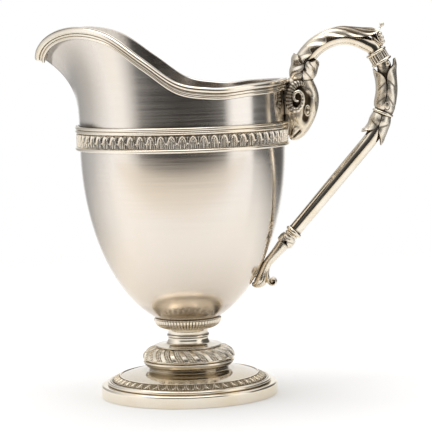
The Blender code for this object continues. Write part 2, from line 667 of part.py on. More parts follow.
def build_sheath(start):
    """Upper sheath: a core from the collar to the ring, the ring, and two leaves that rise from it."""
    axis = lean_direction(SHEATH_RING_LEAN)
    ring_start = grip_point(SHEATH_RING_PLACE) - axis * SHEATH_RING_LENGTH / 2
    core_end = ring_start - axis * SEAT_GAP
    route = [start, *map(grip_point, SHEATH_ROUTE), core_end]
    core = led_path(lean_direction(GRIP_COLLAR_LEAN), route, axis)
    radii = smooth_values((SHEATH_THROAT, SHEATH_RADIUS, SHEATH_RADIUS, SHEATH_RADIUS), len(core))
    tube("sheath_core", in_plane(core), radii, "cast_silver")
    ring = rounded_disc(SHEATH_RING_RADIUS, SHEATH_RING_LENGTH)
    turned_along("sheath_ring", ring, "cast_silver", ring_start, axis)

    clear = SHEATH_RADIUS + LEAF_GAP
    standoff = (clear, clear, clear, clear + SHEATH_CURL / 4, clear + SHEATH_CURL)
    outer_spine = stretch(core[::-1], LEAF_ROOT, SHEATH_OUTER_LEAF_LENGTH, LEAF_STATIONS)
    inner_spine = stretch(core[::-1], LEAF_ROOT, SHEATH_INNER_LEAF_LENGTH, LEAF_STATIONS)
    leaf("sheath_leaf_outer", outer_spine, -1, standoff, SHEATH_SPREAD, "cast_silver")
    leaf("sheath_leaf_inner", inner_spine, 1, standoff, SHEATH_SPREAD, "cast_silver")
    return ring_start + axis * (SHEATH_RING_LENGTH + SEAT_GAP)


def build_rod(start):
    """Lower leaves, rod, its double ring, the cup and the scroll foot on the bowl."""
    seat_point, _ = bowl_point(SCROLL_SEATS[0][0])
    foot_top = seat_point + SCROLL_TOP_OFFSET
    bend = [grip_point(place) for place in ROD_BEND]
    axis = bend[-1] - foot_top
    axis /= np.linalg.norm(axis)
    cup_start = foot_top + axis * SEAT_GAP
    small_start = cup_start + axis * (SCROLL_CUP_LENGTH + SEAT_GAP)
    large_start = small_start + axis * (ROD_RING_SMALL_LENGTH + SEAT_GAP)
    rod_end = large_start + axis * (ROD_RING_LARGE_LENGTH + SEAT_GAP)
    cup_depth = SCROLL_CUP_LENGTH / math.sin(math.radians(SCROLL_CUP_SWEEP))
    cup_size = (SCROLL_CUP_RADIUS, cup_depth)
    cup_side = arc((0.0, SCROLL_CUP_LENGTH), cup_size, 0, -SCROLL_CUP_SWEEP, ROUND_POINTS)
    cup = [(0.0, SCROLL_CUP_LENGTH), *cup_side, (0.0, 0.0)]
    turned_along("scroll_cup", cup, "cast_silver", cup_start, axis)
    small_ring = rounded_disc(ROD_RING_SMALL_RADIUS, ROD_RING_SMALL_LENGTH)
    large_ring = rounded_disc(ROD_RING_LARGE_RADIUS, ROD_RING_LARGE_LENGTH)
    turned_along("rod_ring_small", small_ring, "cast_silver", small_start, axis)
    turned_along("rod_ring_large", large_ring, "cast_silver", large_start, axis)

    straight = [bend[-1] + share * (rod_end - bend[-1]) for share in ROD_STATIONS]
    rod = led_path(lean_direction(SHEATH_RING_LEAN), [start, *bend, *straight], -axis)
    radii = smooth_values((ROD_TOP_RADIUS, ROD_TOP_RADIUS, ROD_RADIUS), len(rod))
    tube("handle_rod", in_plane(rod), radii, "cast_silver")
    clear = ROD_TOP_RADIUS + LEAF_GAP
    spine = stretch(rod, LEAF_ROOT, HUSK_LEAF_LENGTH, LEAF_STATIONS)
    standoff = (clear, clear, clear, clear + HUSK_CURL / 4, clear + HUSK_CURL)
    leaf("husk_leaf_outer", spine, 1, standoff, SHEATH_SPREAD, "cast_silver")
    leaf("husk_leaf_inner", spine, -1, standoff, SHEATH_SPREAD, "cast_silver")
    build_scroll_foot(foot_top, axis)


def build_scroll_foot(top, axis):
    """A bracket that runs from the cup down the bowl's wall and ends in a rolled volute."""
    seats = []
    for angle, half, half_width in SCROLL_SEATS:
        point, normal = bowl_point(angle)
        seats.append((*(point + normal * (SEAT_GAP + half)), half, half_width))
    neck = top - axis * 2 * SCROLL_TOP_HALF
    stations = [(*top, SCROLL_TOP_HALF, SCROLL_TOP_HALF), (*neck, seats[0][2], seats[0][3]), *seats[1:]]
    stations = smooth_path(stations, PATH_POINTS)
    path, half, half_width = stations[:, :2], stations[:, 2:3], stations[:, 3:4]
    _, left = path_frame(path)
    turn = np.linspace(0.0, 2 * math.pi, SECTION_SIDES, endpoint=False)
    sections = np.stack(
        [
            path[:, :1] + left[:, :1] * half * np.cos(turn),
            half_width * np.sin(turn),
            path[:, 1:] + left[:, 1:] * half * np.cos(turn),
        ],
        axis=-1,
    )
    scroll = swept("scroll_foot", sections, "cast_silver")

    lobe_x, lobe_z, lobe_half, _ = seats[-2]
    roll_centre = (lobe_x + lobe_half + VOLUTE_RADIUS - VOLUTE_OVERLAP, lobe_z)
    roll = plain_disc(VOLUTE_RADIUS, -VOLUTE_HALF_WIDTH, VOLUTE_HALF_WIDTH)
    volute = turned("scroll_volute", roll, "cast_silver", SMALL_STEPS, closed=False)
    volute.location = (roll_centre[0], 0.0, roll_centre[1])
    volute.rotation_euler = (math.pi / 2, 0.0, 0.0)
    bpy.data.collections["cream_jug"].objects.unlink(volute)
    bpy.data.collections["jug_cutters"].objects.link(volute)
    volute.hide_render = True
    volute.display_type = "WIRE"
    join = scroll.modifiers.new("volute", "BOOLEAN")
    join.operation = "UNION"
    join.object = volute


def centre_over_origin():
    """Moves the jug's empty so that the whole jug's box is centred over the origin."""
    bpy.context.view_layer.update()
    graph = bpy.context.evaluated_depsgraph_get()
    lows, highs = [], []
    for piece in bpy.data.collections["cream_jug"].objects:
        if piece.type == "EMPTY":
            continue
        solid = piece.evaluated_get(graph)
        corners = [solid.matrix_world @ Vector(corner) for corner in solid.bound_box]
        lows.append(min(corner.x for corner in corners))
        highs.append(max(corner.x for corner in corners))
    bpy.data.objects["cream_jug"].location.x = -(min(lows) + max(highs)) / 2


def main():
    """Builds the jug from its foot up, then its handle."""
    clear_scene()
    parts = new_collection("cream_jug")
    new_collection("jug_cutters").hide_render = True
    parts.objects.link(bpy.data.objects.new("cream_jug", None))
    build_foot()
    build_stem()
    build_body()
    build_neck()
    build_ram_head()
    sheath_start = build_arch()
    rod_start = build_sheath(sheath_start)
    build_rod(rod_start)
    centre_over_origin()


main()
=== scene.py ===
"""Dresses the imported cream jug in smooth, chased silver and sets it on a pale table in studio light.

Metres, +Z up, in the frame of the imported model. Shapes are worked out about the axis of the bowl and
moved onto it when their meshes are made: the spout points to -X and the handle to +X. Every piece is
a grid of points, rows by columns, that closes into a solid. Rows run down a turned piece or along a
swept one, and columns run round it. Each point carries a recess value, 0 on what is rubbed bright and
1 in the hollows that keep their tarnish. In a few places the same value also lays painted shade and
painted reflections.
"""

from __future__ import annotations

import logging
import math
from collections.abc import Sequence
from dataclasses import dataclass, replace
from enum import Enum

import bpy
import numpy as np
from mathutils import Matrix, Vector

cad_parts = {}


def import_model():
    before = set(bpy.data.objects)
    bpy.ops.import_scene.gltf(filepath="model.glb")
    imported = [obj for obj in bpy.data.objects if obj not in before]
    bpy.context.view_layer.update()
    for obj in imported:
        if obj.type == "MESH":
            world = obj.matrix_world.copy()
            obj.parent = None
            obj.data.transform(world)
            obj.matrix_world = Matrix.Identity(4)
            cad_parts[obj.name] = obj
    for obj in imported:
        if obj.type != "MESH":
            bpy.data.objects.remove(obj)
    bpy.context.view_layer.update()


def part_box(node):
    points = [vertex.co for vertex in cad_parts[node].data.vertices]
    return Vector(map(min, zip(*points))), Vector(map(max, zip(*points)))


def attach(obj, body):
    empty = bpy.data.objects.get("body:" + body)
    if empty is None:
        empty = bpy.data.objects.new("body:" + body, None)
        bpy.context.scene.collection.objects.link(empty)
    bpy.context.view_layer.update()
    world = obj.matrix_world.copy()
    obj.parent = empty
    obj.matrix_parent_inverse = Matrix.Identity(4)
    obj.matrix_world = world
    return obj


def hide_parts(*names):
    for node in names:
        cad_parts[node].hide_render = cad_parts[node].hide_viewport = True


LOG = logging.getLogger("cream_jug")
WHITE = (1.0, 1.0, 1.0, 1.0)
# What sits on a tube where it meets its neighbours, and how far it runs.
JOINT_TARNISH = 0.8
JOINT_RUN = 0.0008
# Share of a seat's gap that is left where a casting sits on the bowl.
ON_BOWL = 0.1
# How sharply the tarnish gathers between two reeds, as a power of the place across a reed.
REED_DIRT = 3.5
# An egg's first and last rings stand this many degrees from its equator.
EGG_POLE = 89.0
Array = np.ndarray
Socket = bpy.types.NodeSocket
Pair = tuple[float, float]
Colour = tuple[float, float, float, float]


def arc(centre: Pair, radii: Pair, start: float, end: float, count: int) -> Array:
    """Points of an elliptic arc: centre plus radii times cosine and sine of an even run of degrees."""
    turn = np.radians(np.linspace(start, end, count))
    return np.column_stack([centre[0] + radii[0] * np.cos(turn), centre[1] + radii[1] * np.sin(turn)])


def line(start: Pair, end: Pair, count: int) -> Array:
    """Evenly spaced points on a straight line, both ends included."""
    return np.linspace(start, end, count)


def through(times: Sequence[float], knots: Sequence, at: Array) -> Array:
    """A cubic Hermite curve through knots, with each knot's slope taken from its neighbours.

    Args:
        times: Where the knots stand on the parameter.
        knots: A value or a row of values at each time.
        at: The parameters wanted.

    Returns:
        One row of values for each parameter.
    """
    times = np.asarray(times, float)
    knots = np.asarray(knots, float).reshape(len(times), -1)
    slopes = np.gradient(knots, times, axis=0)
    cell = np.clip(np.searchsorted(times, at, side="right") - 1, 0, len(times) - 2)
    span = (times[cell + 1] - times[cell])[:, None]
    s = (at - times[cell])[:, None] / span
    rise = 3 * s**2 - 2 * s**3
    ends = (1 - rise) * knots[cell] + rise * knots[cell + 1]
    return ends + span * ((s**3 - 2 * s**2 + s) * slopes[cell] + (s**3 - s**2) * slopes[cell + 1])


def run_along(path: Array) -> Array:
    """Length along a path up to each of its points."""
    return np.concatenate([[0.0], np.cumsum(np.linalg.norm(np.diff(path, axis=0), axis=1))])


def smooth_path(points: Sequence, count: int) -> Array:
    """Points at equal steps of chord length on a smooth curve through the given ones.

    Args:
        points: What the curve passes, a row of values for each point.
        count: How many points are wanted.

    Returns:
        One row of values for each point.
    """
    points = np.asarray(points, float)
    run = run_along(points)
    return through(run, points, np.linspace(0.0, run[-1], count))


def stretch(path: Array, start: float, end: float, count: int) -> Array:
    """Points at equal steps on a path, between two lengths along it."""
    return through(run_along(path), path, np.linspace(start, end, count))


def spread_values(values: Sequence[float], count: int) -> Array:
    """A few values at equal steps, smoothed out to a longer run."""
    return through(np.linspace(0.0, 1.0, len(values)), values, np.linspace(0.0, 1.0, count))[:, 0]


def step(low: float, high: float, value: Array) -> Array:
    """A smooth rise from 0 at low to 1 at high, three squares less two cubes."""
    share = np.clip((value - low) / (high - low), 0.0, 1.0)
    return share * share * (3 - 2 * share)


def bell(value: Array, middle: float, width: float) -> Array:
    """A bell-shaped swelling of height 1 about a middle: e to minus the squared distance in widths."""
    return np.exp(-(((value - middle) / width) ** 2))


def trail(amount: float, run: float, distance: Array) -> Array:
    """Tarnish that dies out over a run: its amount times the exponential of minus distance over run."""
    return amount * np.exp(-np.clip(distance, 0.0, None) / run)


def unit(vectors: Array) -> Array:
    """Vectors scaled to length 1."""
    return vectors / np.maximum(np.linalg.norm(vectors, axis=-1, keepdims=True), 1e-12)


def circle(columns: int) -> Array:
    """Even angles round a full turn, in radians, one for each column."""
    return np.linspace(0.0, 2 * math.pi, columns, endpoint=False)


def rising(count: int) -> Array:
    """Even values from 0 to 1, as a column with one row each."""
    return np.linspace(0.0, 1.0, count)[:, None]


def phases(repeats: int, steps: int) -> Array:
    """Places from 0 up to 1 within each repeat of a pattern, at every column round a piece."""
    return np.mod(np.linspace(0.0, repeats, repeats * steps, endpoint=False), 1.0)


def off_path(path: Array, out: Array, sideways: Array) -> Array:
    """Points off a path of the XZ plane: one distance along its left normals, another along Y.

    Args:
        path: (x, z) points, one for each row.
        out: Distances along the normals, rows by columns.
        sideways: Distances along Y, rows by columns.

    Returns:
        Points in space, rows by columns by three.
    """
    tangent = unit(np.gradient(path, axis=0))
    x = path[:, :1] - tangent[:, 1:] * out
    z = path[:, 1:] + tangent[:, :1] * out
    return np.stack([x, sideways, z], axis=-1)


class Slot(Enum):
    """The record's material slots."""

    SATIN = "satin_silver"
    BRIGHT = "bright_silver"
    CAST = "cast_silver"


class Edges(Enum):
    """From how many degrees on an edge stays sharp in a piece's shading."""

    PLAIN = 42.0
    CAST = 70.0
    CARVED = 75.0


class Side(Enum):
    """The side of its spine that a leaf lies on, as a factor on the spine's left normals."""

    LEFT = 1
    RIGHT = -1


@dataclass
class Skin:
    """A closed surface: a grid of points whose columns close on themselves.

    Attributes:
        points: Rows by columns by three.
        recess: Rows by columns, 0 on high parts and 1 in hollows.
        ring: Whether the rows close on themselves too. If they don't, flat caps close the ends.
    """

    points: Array
    recess: Array | float = 0.0
    ring: bool = False

    def __post_init__(self) -> None:
        """Holds the recess values between 0 and 1, and gives every point its own."""
        self.recess = np.broadcast_to(np.clip(self.recess, 0.0, 1.0), self.points.shape[:2])

    def normals(self) -> Array:
        """Outward unit normals: the cross product of the steps down the rows and round the columns.

        Returns:
            Rows by columns by three.
        """
        if self.ring:
            down = np.roll(self.points, -1, axis=0) - np.roll(self.points, 1, axis=0)
        else:
            down = np.gradient(self.points, axis=0)
        around = np.roll(self.points, -1, axis=1) - np.roll(self.points, 1, axis=1)
        return unit(np.cross(down, around))

    def toned(self, recess: Array | float) -> Skin:
        """The same surface with other recess values."""
        return replace(self, recess=recess)

    def raised(self, height: Array, recess: Array) -> Skin:
        """The same surface pushed out along its normals by heights in metres, with other recess values."""
        return replace(self, points=self.points + self.normals() * height[..., None], recess=recess)

    def mirrored(self) -> Skin:
        """The same surface on the other side of the jug's plane of symmetry."""
        return Skin(self.points[:, ::-1] * (1.0, -1.0, 1.0), self.recess[:, ::-1], self.ring)

    def quads(self) -> tuple[Array, Array]:
        """The grid's faces: each point with its neighbours in the next row and the next column.

        Returns:
            Corner indices of the quads, and the corners' places on the grid as UV values.
        """
        rows, columns = self.points.shape[:2]
        row = np.arange(rows if self.ring else rows - 1)[:, None, None]
        column = np.arange(columns)[None, :, None]
        corner_row = row + np.array([0, 1, 1, 0])
        corner_column = column + np.array([0, 0, 1, 1])
        index = (corner_row % rows) * columns + corner_column % columns
        places = np.stack(np.broadcast_arrays(corner_row / rows, corner_column / columns), axis=-1)
        return index.reshape(-1, 4), places.reshape(-1, 2)


def turned(profile: Array, columns: int, ring: bool = False) -> Skin:
    """A turned surface: each (radius, height) of a profile carried round the axis by cosine and sine.

    Args:
        profile: Points that run down the outer side.
        columns: Steps round the axis.
        ring: Whether the profile closes on itself.

    Returns:
        The skin, with no recess yet.
    """
    profile = np.asarray(profile, float)
    turn = circle(columns)
    across = profile[:, :1]
    height = np.broadcast_to(profile[:, 1:], (len(profile), columns))
    points = np.stack([across * np.cos(turn), across * np.sin(turn), height], axis=-1)
    return Skin(points, ring=ring)


def turned_along(profile: Array, columns: int, place: Array, direction: Array) -> Skin:
    """A small turned solid on an axis of the XZ plane, its profile's heights measured along that axis.

    Args:
        profile: (radius, distance along the axis) points, the far end first.
        columns: Steps round the axis.
        place: Where the axis starts, as (x, z).
        direction: The axis's unit direction, as (x, z).

    Returns:
        The skin, with no recess yet.
    """
    skin = turned(profile, columns)
    x, y, z = np.moveaxis(skin.points, -1, 0)
    across = (direction[1], -direction[0])
    over, up = (place[k] + x * across[k] + z * direction[k] for k in (0, 1))
    skin.points = np.stack([over, y, up], axis=-1)
    return skin


def tube(path: Array, half: Array, half_width: Array, columns: int) -> Skin:
    """A tube along a path of the XZ plane, an ellipse at each point set square to the path.

    Args:
        path: (x, z) points.
        half: Half thickness in the plane at each point.
        half_width: Half width across the plane at each point.
        columns: Steps round the tube.

    Returns:
        The skin, its recess rising where the tube meets its neighbours.
    """
    turn = circle(columns)
    points = off_path(path, half[:, None] * np.cos(turn), half_width[:, None] * np.sin(turn))
    run = run_along(path)[:, None]
    ends = trail(1.0, JOINT_RUN, run) + trail(1.0, JOINT_RUN, run[-1] - run)
    return Skin(points, JOINT_TARNISH * np.clip(ends, 0.0, 1.0))


def coil(path: Array, radii: Array, columns: int, closed: bool = False) -> Skin:
    """A round tube along any path in space, its sections turned to keep one side towards the jug's plane.

    Args:
        path: (x, y, z) points.
        radii: The tube's radius at each point.
        columns: Steps round the tube.
        closed: Whether the path comes back to its start.

    Returns:
        The skin, with no recess yet.
    """
    steps = np.roll(path, -1, axis=0) - np.roll(path, 1, axis=0) if closed else np.gradient(path, axis=0)
    tangent = unit(steps)
    side = unit(np.cross((0.0, 1.0, 0.0), tangent))
    lift = np.cross(side, tangent)
    turn = circle(columns)[:, None]
    ring = side[:, None] * np.cos(turn) + lift[:, None] * np.sin(turn)
    points = path[:, None] + ring * radii[:, None, None]
    return Skin(points, ring=closed)


def egg(
    centre: Sequence[float], sizes: Sequence[float], tilt: float = 0.0, rows: int = 14, columns: int = 20
) -> Skin:
    """An ellipsoid tilted in the XZ plane: latitudes down its long axis, longitudes round it.

    Args:
        centre: Its middle.
        sizes: Half sizes across, sideways and along the long axis.
        tilt: Degrees that the long axis leans from straight up towards +X.
        rows: Latitudes.
        columns: Longitudes.

    Returns:
        The skin, with no recess yet.
    """
    latitude = np.radians(np.linspace(EGG_POLE, -EGG_POLE, rows))[:, None]
    turn = circle(columns)
    across = sizes[0] * np.cos(latitude) * np.cos(turn)
    sideways = sizes[1] * np.cos(latitude) * np.sin(turn)
    along = np.broadcast_to(sizes[2] * np.sin(latitude), across.shape)
    slope = math.radians(tilt)
    x = across * math.cos(slope) + along * math.sin(slope)
    z = along * math.cos(slope) - across * math.sin(slope)
    points = np.stack([centre[0] + x, centre[1] + sideways, centre[2] + z], axis=-1)
    return Skin(points)


def round_wire(centre: Pair, radius: float, columns: int) -> Skin:
    """A wire of round section round the jug's axis, its middle at a radius and a height."""
    return turned(arc(centre, (radius, radius), 90, -250, 18), columns, True)


def reeds(
    back: float, across: float, top: float, radii: Sequence[float], spread: float, count: int
) -> tuple[Array, Array]:
    """Reeds one under the other on a flat back: arcs to both sides of their outermost points.

    Args:
        back: Where the flat back stands.
        across: Where the middles of the reeds stand.
        top: Height of the uppermost reed's top.
        radii: Of the reeds, from the top down.
        spread: Degrees that each arc runs to either side.
        count: Points on each reed.

    Returns:
        The profile's points, and their recess values, dark where two reeds meet.
    """
    middles = top - 2 * np.cumsum(radii) + np.asarray(radii)
    rows = [arc((across, z), (radius, radius), spread, -spread, count) for z, radius in zip(middles, radii)]
    flat = line((back, top - 2 * sum(radii)), (back, top), len(radii) + 1)
    dirt = np.tile(np.abs(np.linspace(-1.0, 1.0, count)) ** REED_DIRT, len(radii))
    return np.vstack([*rows, flat]), np.concatenate([dirt, np.zeros(len(flat))])


@dataclass(frozen=True)
class Stack:
    """Sizes and levels that several sub-assemblies share, in metres."""

    seat: float = 0.0003
    sheet: float = 0.0009
    pole: float = 0.00006
    plinth_top: float = 0.005
    drum_top: float = 0.0132
    knop_wire_base: float = 0.0135
    knop_base: float = 0.0145
    cap_base: float = 0.0198
    stem_base: float = 0.0219
    stem_radius: float = 0.0086
    collar_base: float = 0.0271
    bowl_centre: float = 0.101
    bowl_radius: float = 0.0412
    bowl_depth: float = 0.073
    neck_base: float = 0.105
    band_base: float = 0.1002
    strip_base: float = 0.102
    upper_wire_base: float = 0.1072

    def bowl_point(self, angle: float) -> tuple[Array, Array]:
        """A point of the bowl's wall and its outward normal.

        Args:
            angle: Degrees below the bowl's widest circle.

        Returns:
            The point and the normal, each as (radius, height).
        """
        turn = math.radians(angle)
        point = np.array(
            [self.bowl_radius * math.cos(turn), self.bowl_centre - self.bowl_depth * math.sin(turn)]
        )
        return point, unit(np.array([math.cos(turn) / self.bowl_radius, -math.sin(turn) / self.bowl_depth]))

    def grip_point(self, place: Pair) -> Array:
        """A place of the handle from its reach off the neck's wall and its height above the seam."""
        return np.array([self.bowl_radius + place[0], self.neck_base + place[1]])


STACK = Stack()


def lean(angle: float) -> Array:
    """A direction of the XZ plane, in degrees from straight up towards +X."""
    return np.array([math.sin(math.radians(angle)), math.cos(math.radians(angle))])


def capped(top: float, profile: Array, base: float) -> Array:
    """A profile with a point by the axis at either end, at the heights given."""
    return np.vstack([(STACK.pole, top), profile, (STACK.pole, base)])


def rounded_disc(radius: float, length: float, count: int = 9) -> Array:
    """Profile of a disc with a half-round edge, standing on its axis from 0 to its length."""
    half = length / 2
    return capped(length, arc((radius - half, half), (half, half), 90, -90, count), 0.0)


@dataclass(frozen=True)
class LeafCut:
    """How a chased leaf is cut.

    Places along a leaf run from 0 at its root to 1 at its tip, and places across it from 0 on the rib
    to 1 at either edge. A span says where something begins and where it is full.

    Attributes:
        thickness: Of the sheet, in metres.
        lobes, notch: Lobes along each edge, and the share of the width that their notches take.
        lobe_end: Where along the leaf the lobes stop.
        rib, vein: Heights of the middle rib and the side veins.
        slant: How far the veins run back from the edge, as a share of the leaf's length.
        sweep: How much more they slant at the tip than at the root.
        curl: How far the long edges lift off.
        furrow, shade: Tarnish between the veins, and painted shade towards the tip between the edges.
        belly: Where in a lobe the leaf is widest.
        groove: Place and width of the dark line beside the rib.
        tip_fade: Where rib and veins begin to die out.
        root_tarnish: What sits at the root, and how far it runs.
    """

    thickness: float = 0.0009
    lobes: float = 4.0
    notch: float = 0.0
    lobe_end: float = 1.0
    rib: float = 0.0003
    vein: float = 0.0003
    slant: float = 0.16
    curl: float = 0.0
    sweep: float = 0.0
    furrow: float = 0.7
    shade: float = 0.0
    rows: int = 96
    columns: int = 41
    lobe_span: Pair = (0.02, 0.1)
    lobe_fade: float = 0.12
    belly: float = 0.85
    rib_width: float = 0.11
    groove: Pair = (0.17, 0.05)
    groove_tarnish: float = 0.5
    vein_span: Pair = (0.1, 0.5)
    tip_fade: float = 0.86
    notch_dark: float = 0.85
    shade_span: Pair = (0.35, 0.6)
    shade_root: float = 0.2
    shade_edge: float = 0.75
    thin_from: float = 0.8
    thinning: float = 0.5
    root_tarnish: Pair = (0.8, 0.05)

    def clefts(self, along: Array) -> Array:
        """How deep the edge is cut: it closes slowly up to a lobe's belly and opens quickly after it.

        Args:
            along: Places along the leaf.

        Returns:
            One value for each place, 0 to 1.
        """
        lobe = np.mod(self.lobes * along, 1.0)
        closing = np.clip(1.0 - lobe / self.belly, 0.0, 1.0) ** 1.3
        opening = np.clip((lobe - self.belly) / (1.0 - self.belly), 0.0, 1.0) ** 2
        ended = step(self.lobe_end, self.lobe_end - self.lobe_fade, along)
        return (closing + opening) * step(*self.lobe_span, along) * ended

    def carving(self, along: Array, across: Array) -> tuple[Array, Array]:
        """The outer face: a bell on the rib, a cosine on lines slanting to the edge, tarnish and painted
        shade.

        Args:
            along: Places along the leaf.
            across: Places across it, -1 to 1.

        Returns:
            Heights in metres, and recess values.
        """
        off = np.abs(across)
        slant = self.slant * (1.0 + self.sweep * along)
        wave = 0.5 - 0.5 * np.cos(2 * math.pi * self.lobes * (along + slant * (1.0 - off)))
        veined = step(*self.vein_span, off)
        fade = step(1.0, self.tip_fade, along)
        lift = (self.rib * bell(across, 0.0, self.rib_width) + self.vein * wave * veined) * fade
        furrow = self.furrow * (1.0 - wave) ** 6 * veined + self.groove_tarnish * bell(off, *self.groove)
        notched = step(self.notch_dark, 1.0, off) * self.clefts(along) * (self.notch > 0)
        # Painted shade between the edges, growing towards the tip.
        grown = self.shade_root + (1.0 - self.shade_root) * step(*self.shade_span, along)
        shade = self.shade * grown * step(1.0, self.shade_edge, off)
        root = self.root_tarnish[0] * bell(along, 0.0, self.root_tarnish[1])
        return lift, (furrow + shade) * fade + notched + root


def leaf(
    spine: Sequence, side: Side, standoff: Sequence[float], spread: Sequence[float], cut: LeafCut
) -> Skin:
    """A leaf of sheet that wraps one side of a spine, with lobed edges, a middle rib and slanting veins.

    A point stands at the standoff from the spine, turned by the spread's half angle, less its notches,
    times the place across the leaf. Thickness and carving raise the outer face.

    Args:
        spine: (x, z) points from root to tip.
        side: The side of the spine's direction that the leaf lies on.
        standoff: Distances from spine to sheet, root to tip.
        spread: Half angles in degrees that the leaf wraps, root to tip.
        cut: How it is cut.

    Returns:
        The skin: outer face across and inner face back, capped at both ends.
    """
    spine = smooth_path(spine, cut.rows)
    along = rising(cut.rows)
    across = np.linspace(-1.0, 1.0, cut.columns)[None, :]
    edge = 1.0 - cut.notch * cut.clefts(along)
    turn = np.radians(spread_values(spread, cut.rows))[:, None] * edge * across * side.value
    curled = cut.curl * np.abs(across) ** 4 * np.sin(math.pi * along) ** 0.5
    reach = spread_values(standoff, cut.rows)[:, None] + curled
    thickness = cut.thickness * (1.0 - cut.thinning * step(cut.thin_from, 1.0, along))
    lift, recess = cut.carving(along, across)
    faces = [
        off_path(spine, side.value * radius * np.cos(angle), radius * np.sin(angle))
        for radius, angle in ((reach + thickness + lift, turn), (reach[:, ::-1], turn[:, ::-1]))
    ]
    return Skin(np.concatenate(faces, axis=1), np.concatenate([recess, np.ones_like(recess)], axis=1))


@dataclass(frozen=True)
class TipRow:
    """A strip of leaf tips round the jug, with darts between them.

    Widths are shares of half the distance between two leaves, and heights shares of the strip's. A
    span, an edge or an end says at which height a line is nothing and at which it is full.

    Attributes:
        leaves, rows, steps: Leaves round the jug, rows down the front, and columns to a leaf.
        span: Heights of the first and the last row.
        relief, ground: Height of the carving in metres, and its share below the strip's face.
        half, top: Half width of a leaf at its root, and height of its tip.
        arch: Powers of the height, and of what it leaves of the width.
        rim, dart: Widths of a leaf's rim and of a dart.
        inner: Relief, place in half widths, and width of the smaller arch in a leaf.
        rib: Relief and width of the middle rib.
        flat: Relief of the leaf between its lines.
        soft: How softly a leaf's ground begins.
        ground_span: Distances from a leaf over which the ground darkens.
    """

    leaves: int
    rows: int
    span: Pair
    relief: float
    ground: float
    steps: int = 32
    half: float = 0.84
    top: float = 0.96
    arch: Pair = (2.2, 0.6)
    rim: float = 0.13
    rim_span: Pair = (1.02, 0.94)
    inner: tuple = (0.75, 0.5, 0.09)
    inner_span: Pair = (0.74, 0.62)
    rib: Pair = (0.8, 0.1)
    rib_span: Pair = (0.86, 0.74)
    dart: float = 0.12
    dart_start: Pair = (0.3, 0.42)
    dart_end: Pair = (0.96, 0.86)
    flat: float = 0.2
    soft: float = 0.06
    ground_span: Pair = (0.05, 0.2)
    ground_tarnish: float = 0.85
    leaf_tarnish: float = 0.55
    edge_tarnish: float = 0.7
    upper_edge: Pair = (0.94, 1.03)
    lower_edge: Pair = (0.05, -0.03)
    relief_span: Pair = (1.05, 0.98)

    def levels(self) -> Array:
        """Heights of the front's rows, as a column."""
        return np.linspace(*self.span, self.rows)[:, None]

    def carving(self) -> tuple[Array, Array]:
        """The front's relief and tarnish.

        Each leaf is an arch whose half width falls off as it rises. Its rim, a smaller arch inside it,
        its rib and the dart half way to the next leaf are bells across it.

        Returns:
            Heights and recess values, both from 0 to 1, rows by columns.
        """
        v = self.levels()
        left = np.clip(1.0 - (np.clip(v, 0.0, 1.0) / self.top) ** self.arch[0], 1e-4, 1.0)
        half = self.half * left ** self.arch[1]
        off = np.abs(phases(self.leaves, self.steps) * 2 - 1)
        relief, share, width = self.inner
        rim = bell(off, half, self.rim) * step(*self.rim_span, v)
        inner = relief * bell(off, share * half, width) * step(*self.inner_span, v)
        rib = self.rib[0] * bell(off, 0.0, self.rib[1]) * step(*self.rib_span, v)
        dart = bell(off, 1.0, self.dart) * step(*self.dart_start, v) * step(*self.dart_end, v)
        inside = step(self.soft, -self.soft, off - half)
        height = np.clip(np.maximum.reduce([rim, inner, rib, dart, self.flat * inside]), 0.0, 1.0)
        ground = self.ground_tarnish * step(*self.ground_span, off - half)
        hollow = (ground + self.leaf_tarnish * inside) * (1.0 - height)
        edges = self.edge_tarnish * (step(*self.upper_edge, v) + step(*self.lower_edge, v))
        return height * step(*self.relief_span, v), np.clip(hollow + edges, 0.0, 1.0)

    def strip(self, front: Sequence, back: Sequence, height: Array, hollow: Array) -> Skin:
        """The strip: a line of points down its front and another up its back, carried round the jug.

        Args:
            front: Upper and lower end of the front, as (radius, height).
            back: Lower and upper end of the back.
            height: The front's relief, 0 to 1.
            hollow: The front's recess values.

        Returns:
            The skin, with a plain back.
        """
        plain = np.zeros((2, height.shape[1]))
        profile = np.vstack([line(*front, self.rows), line(*back, len(plain))])
        relief = self.relief * (np.vstack([height, plain]) - self.ground)
        return turned(profile, height.shape[1], True).raised(relief, np.vstack([hollow, plain]))


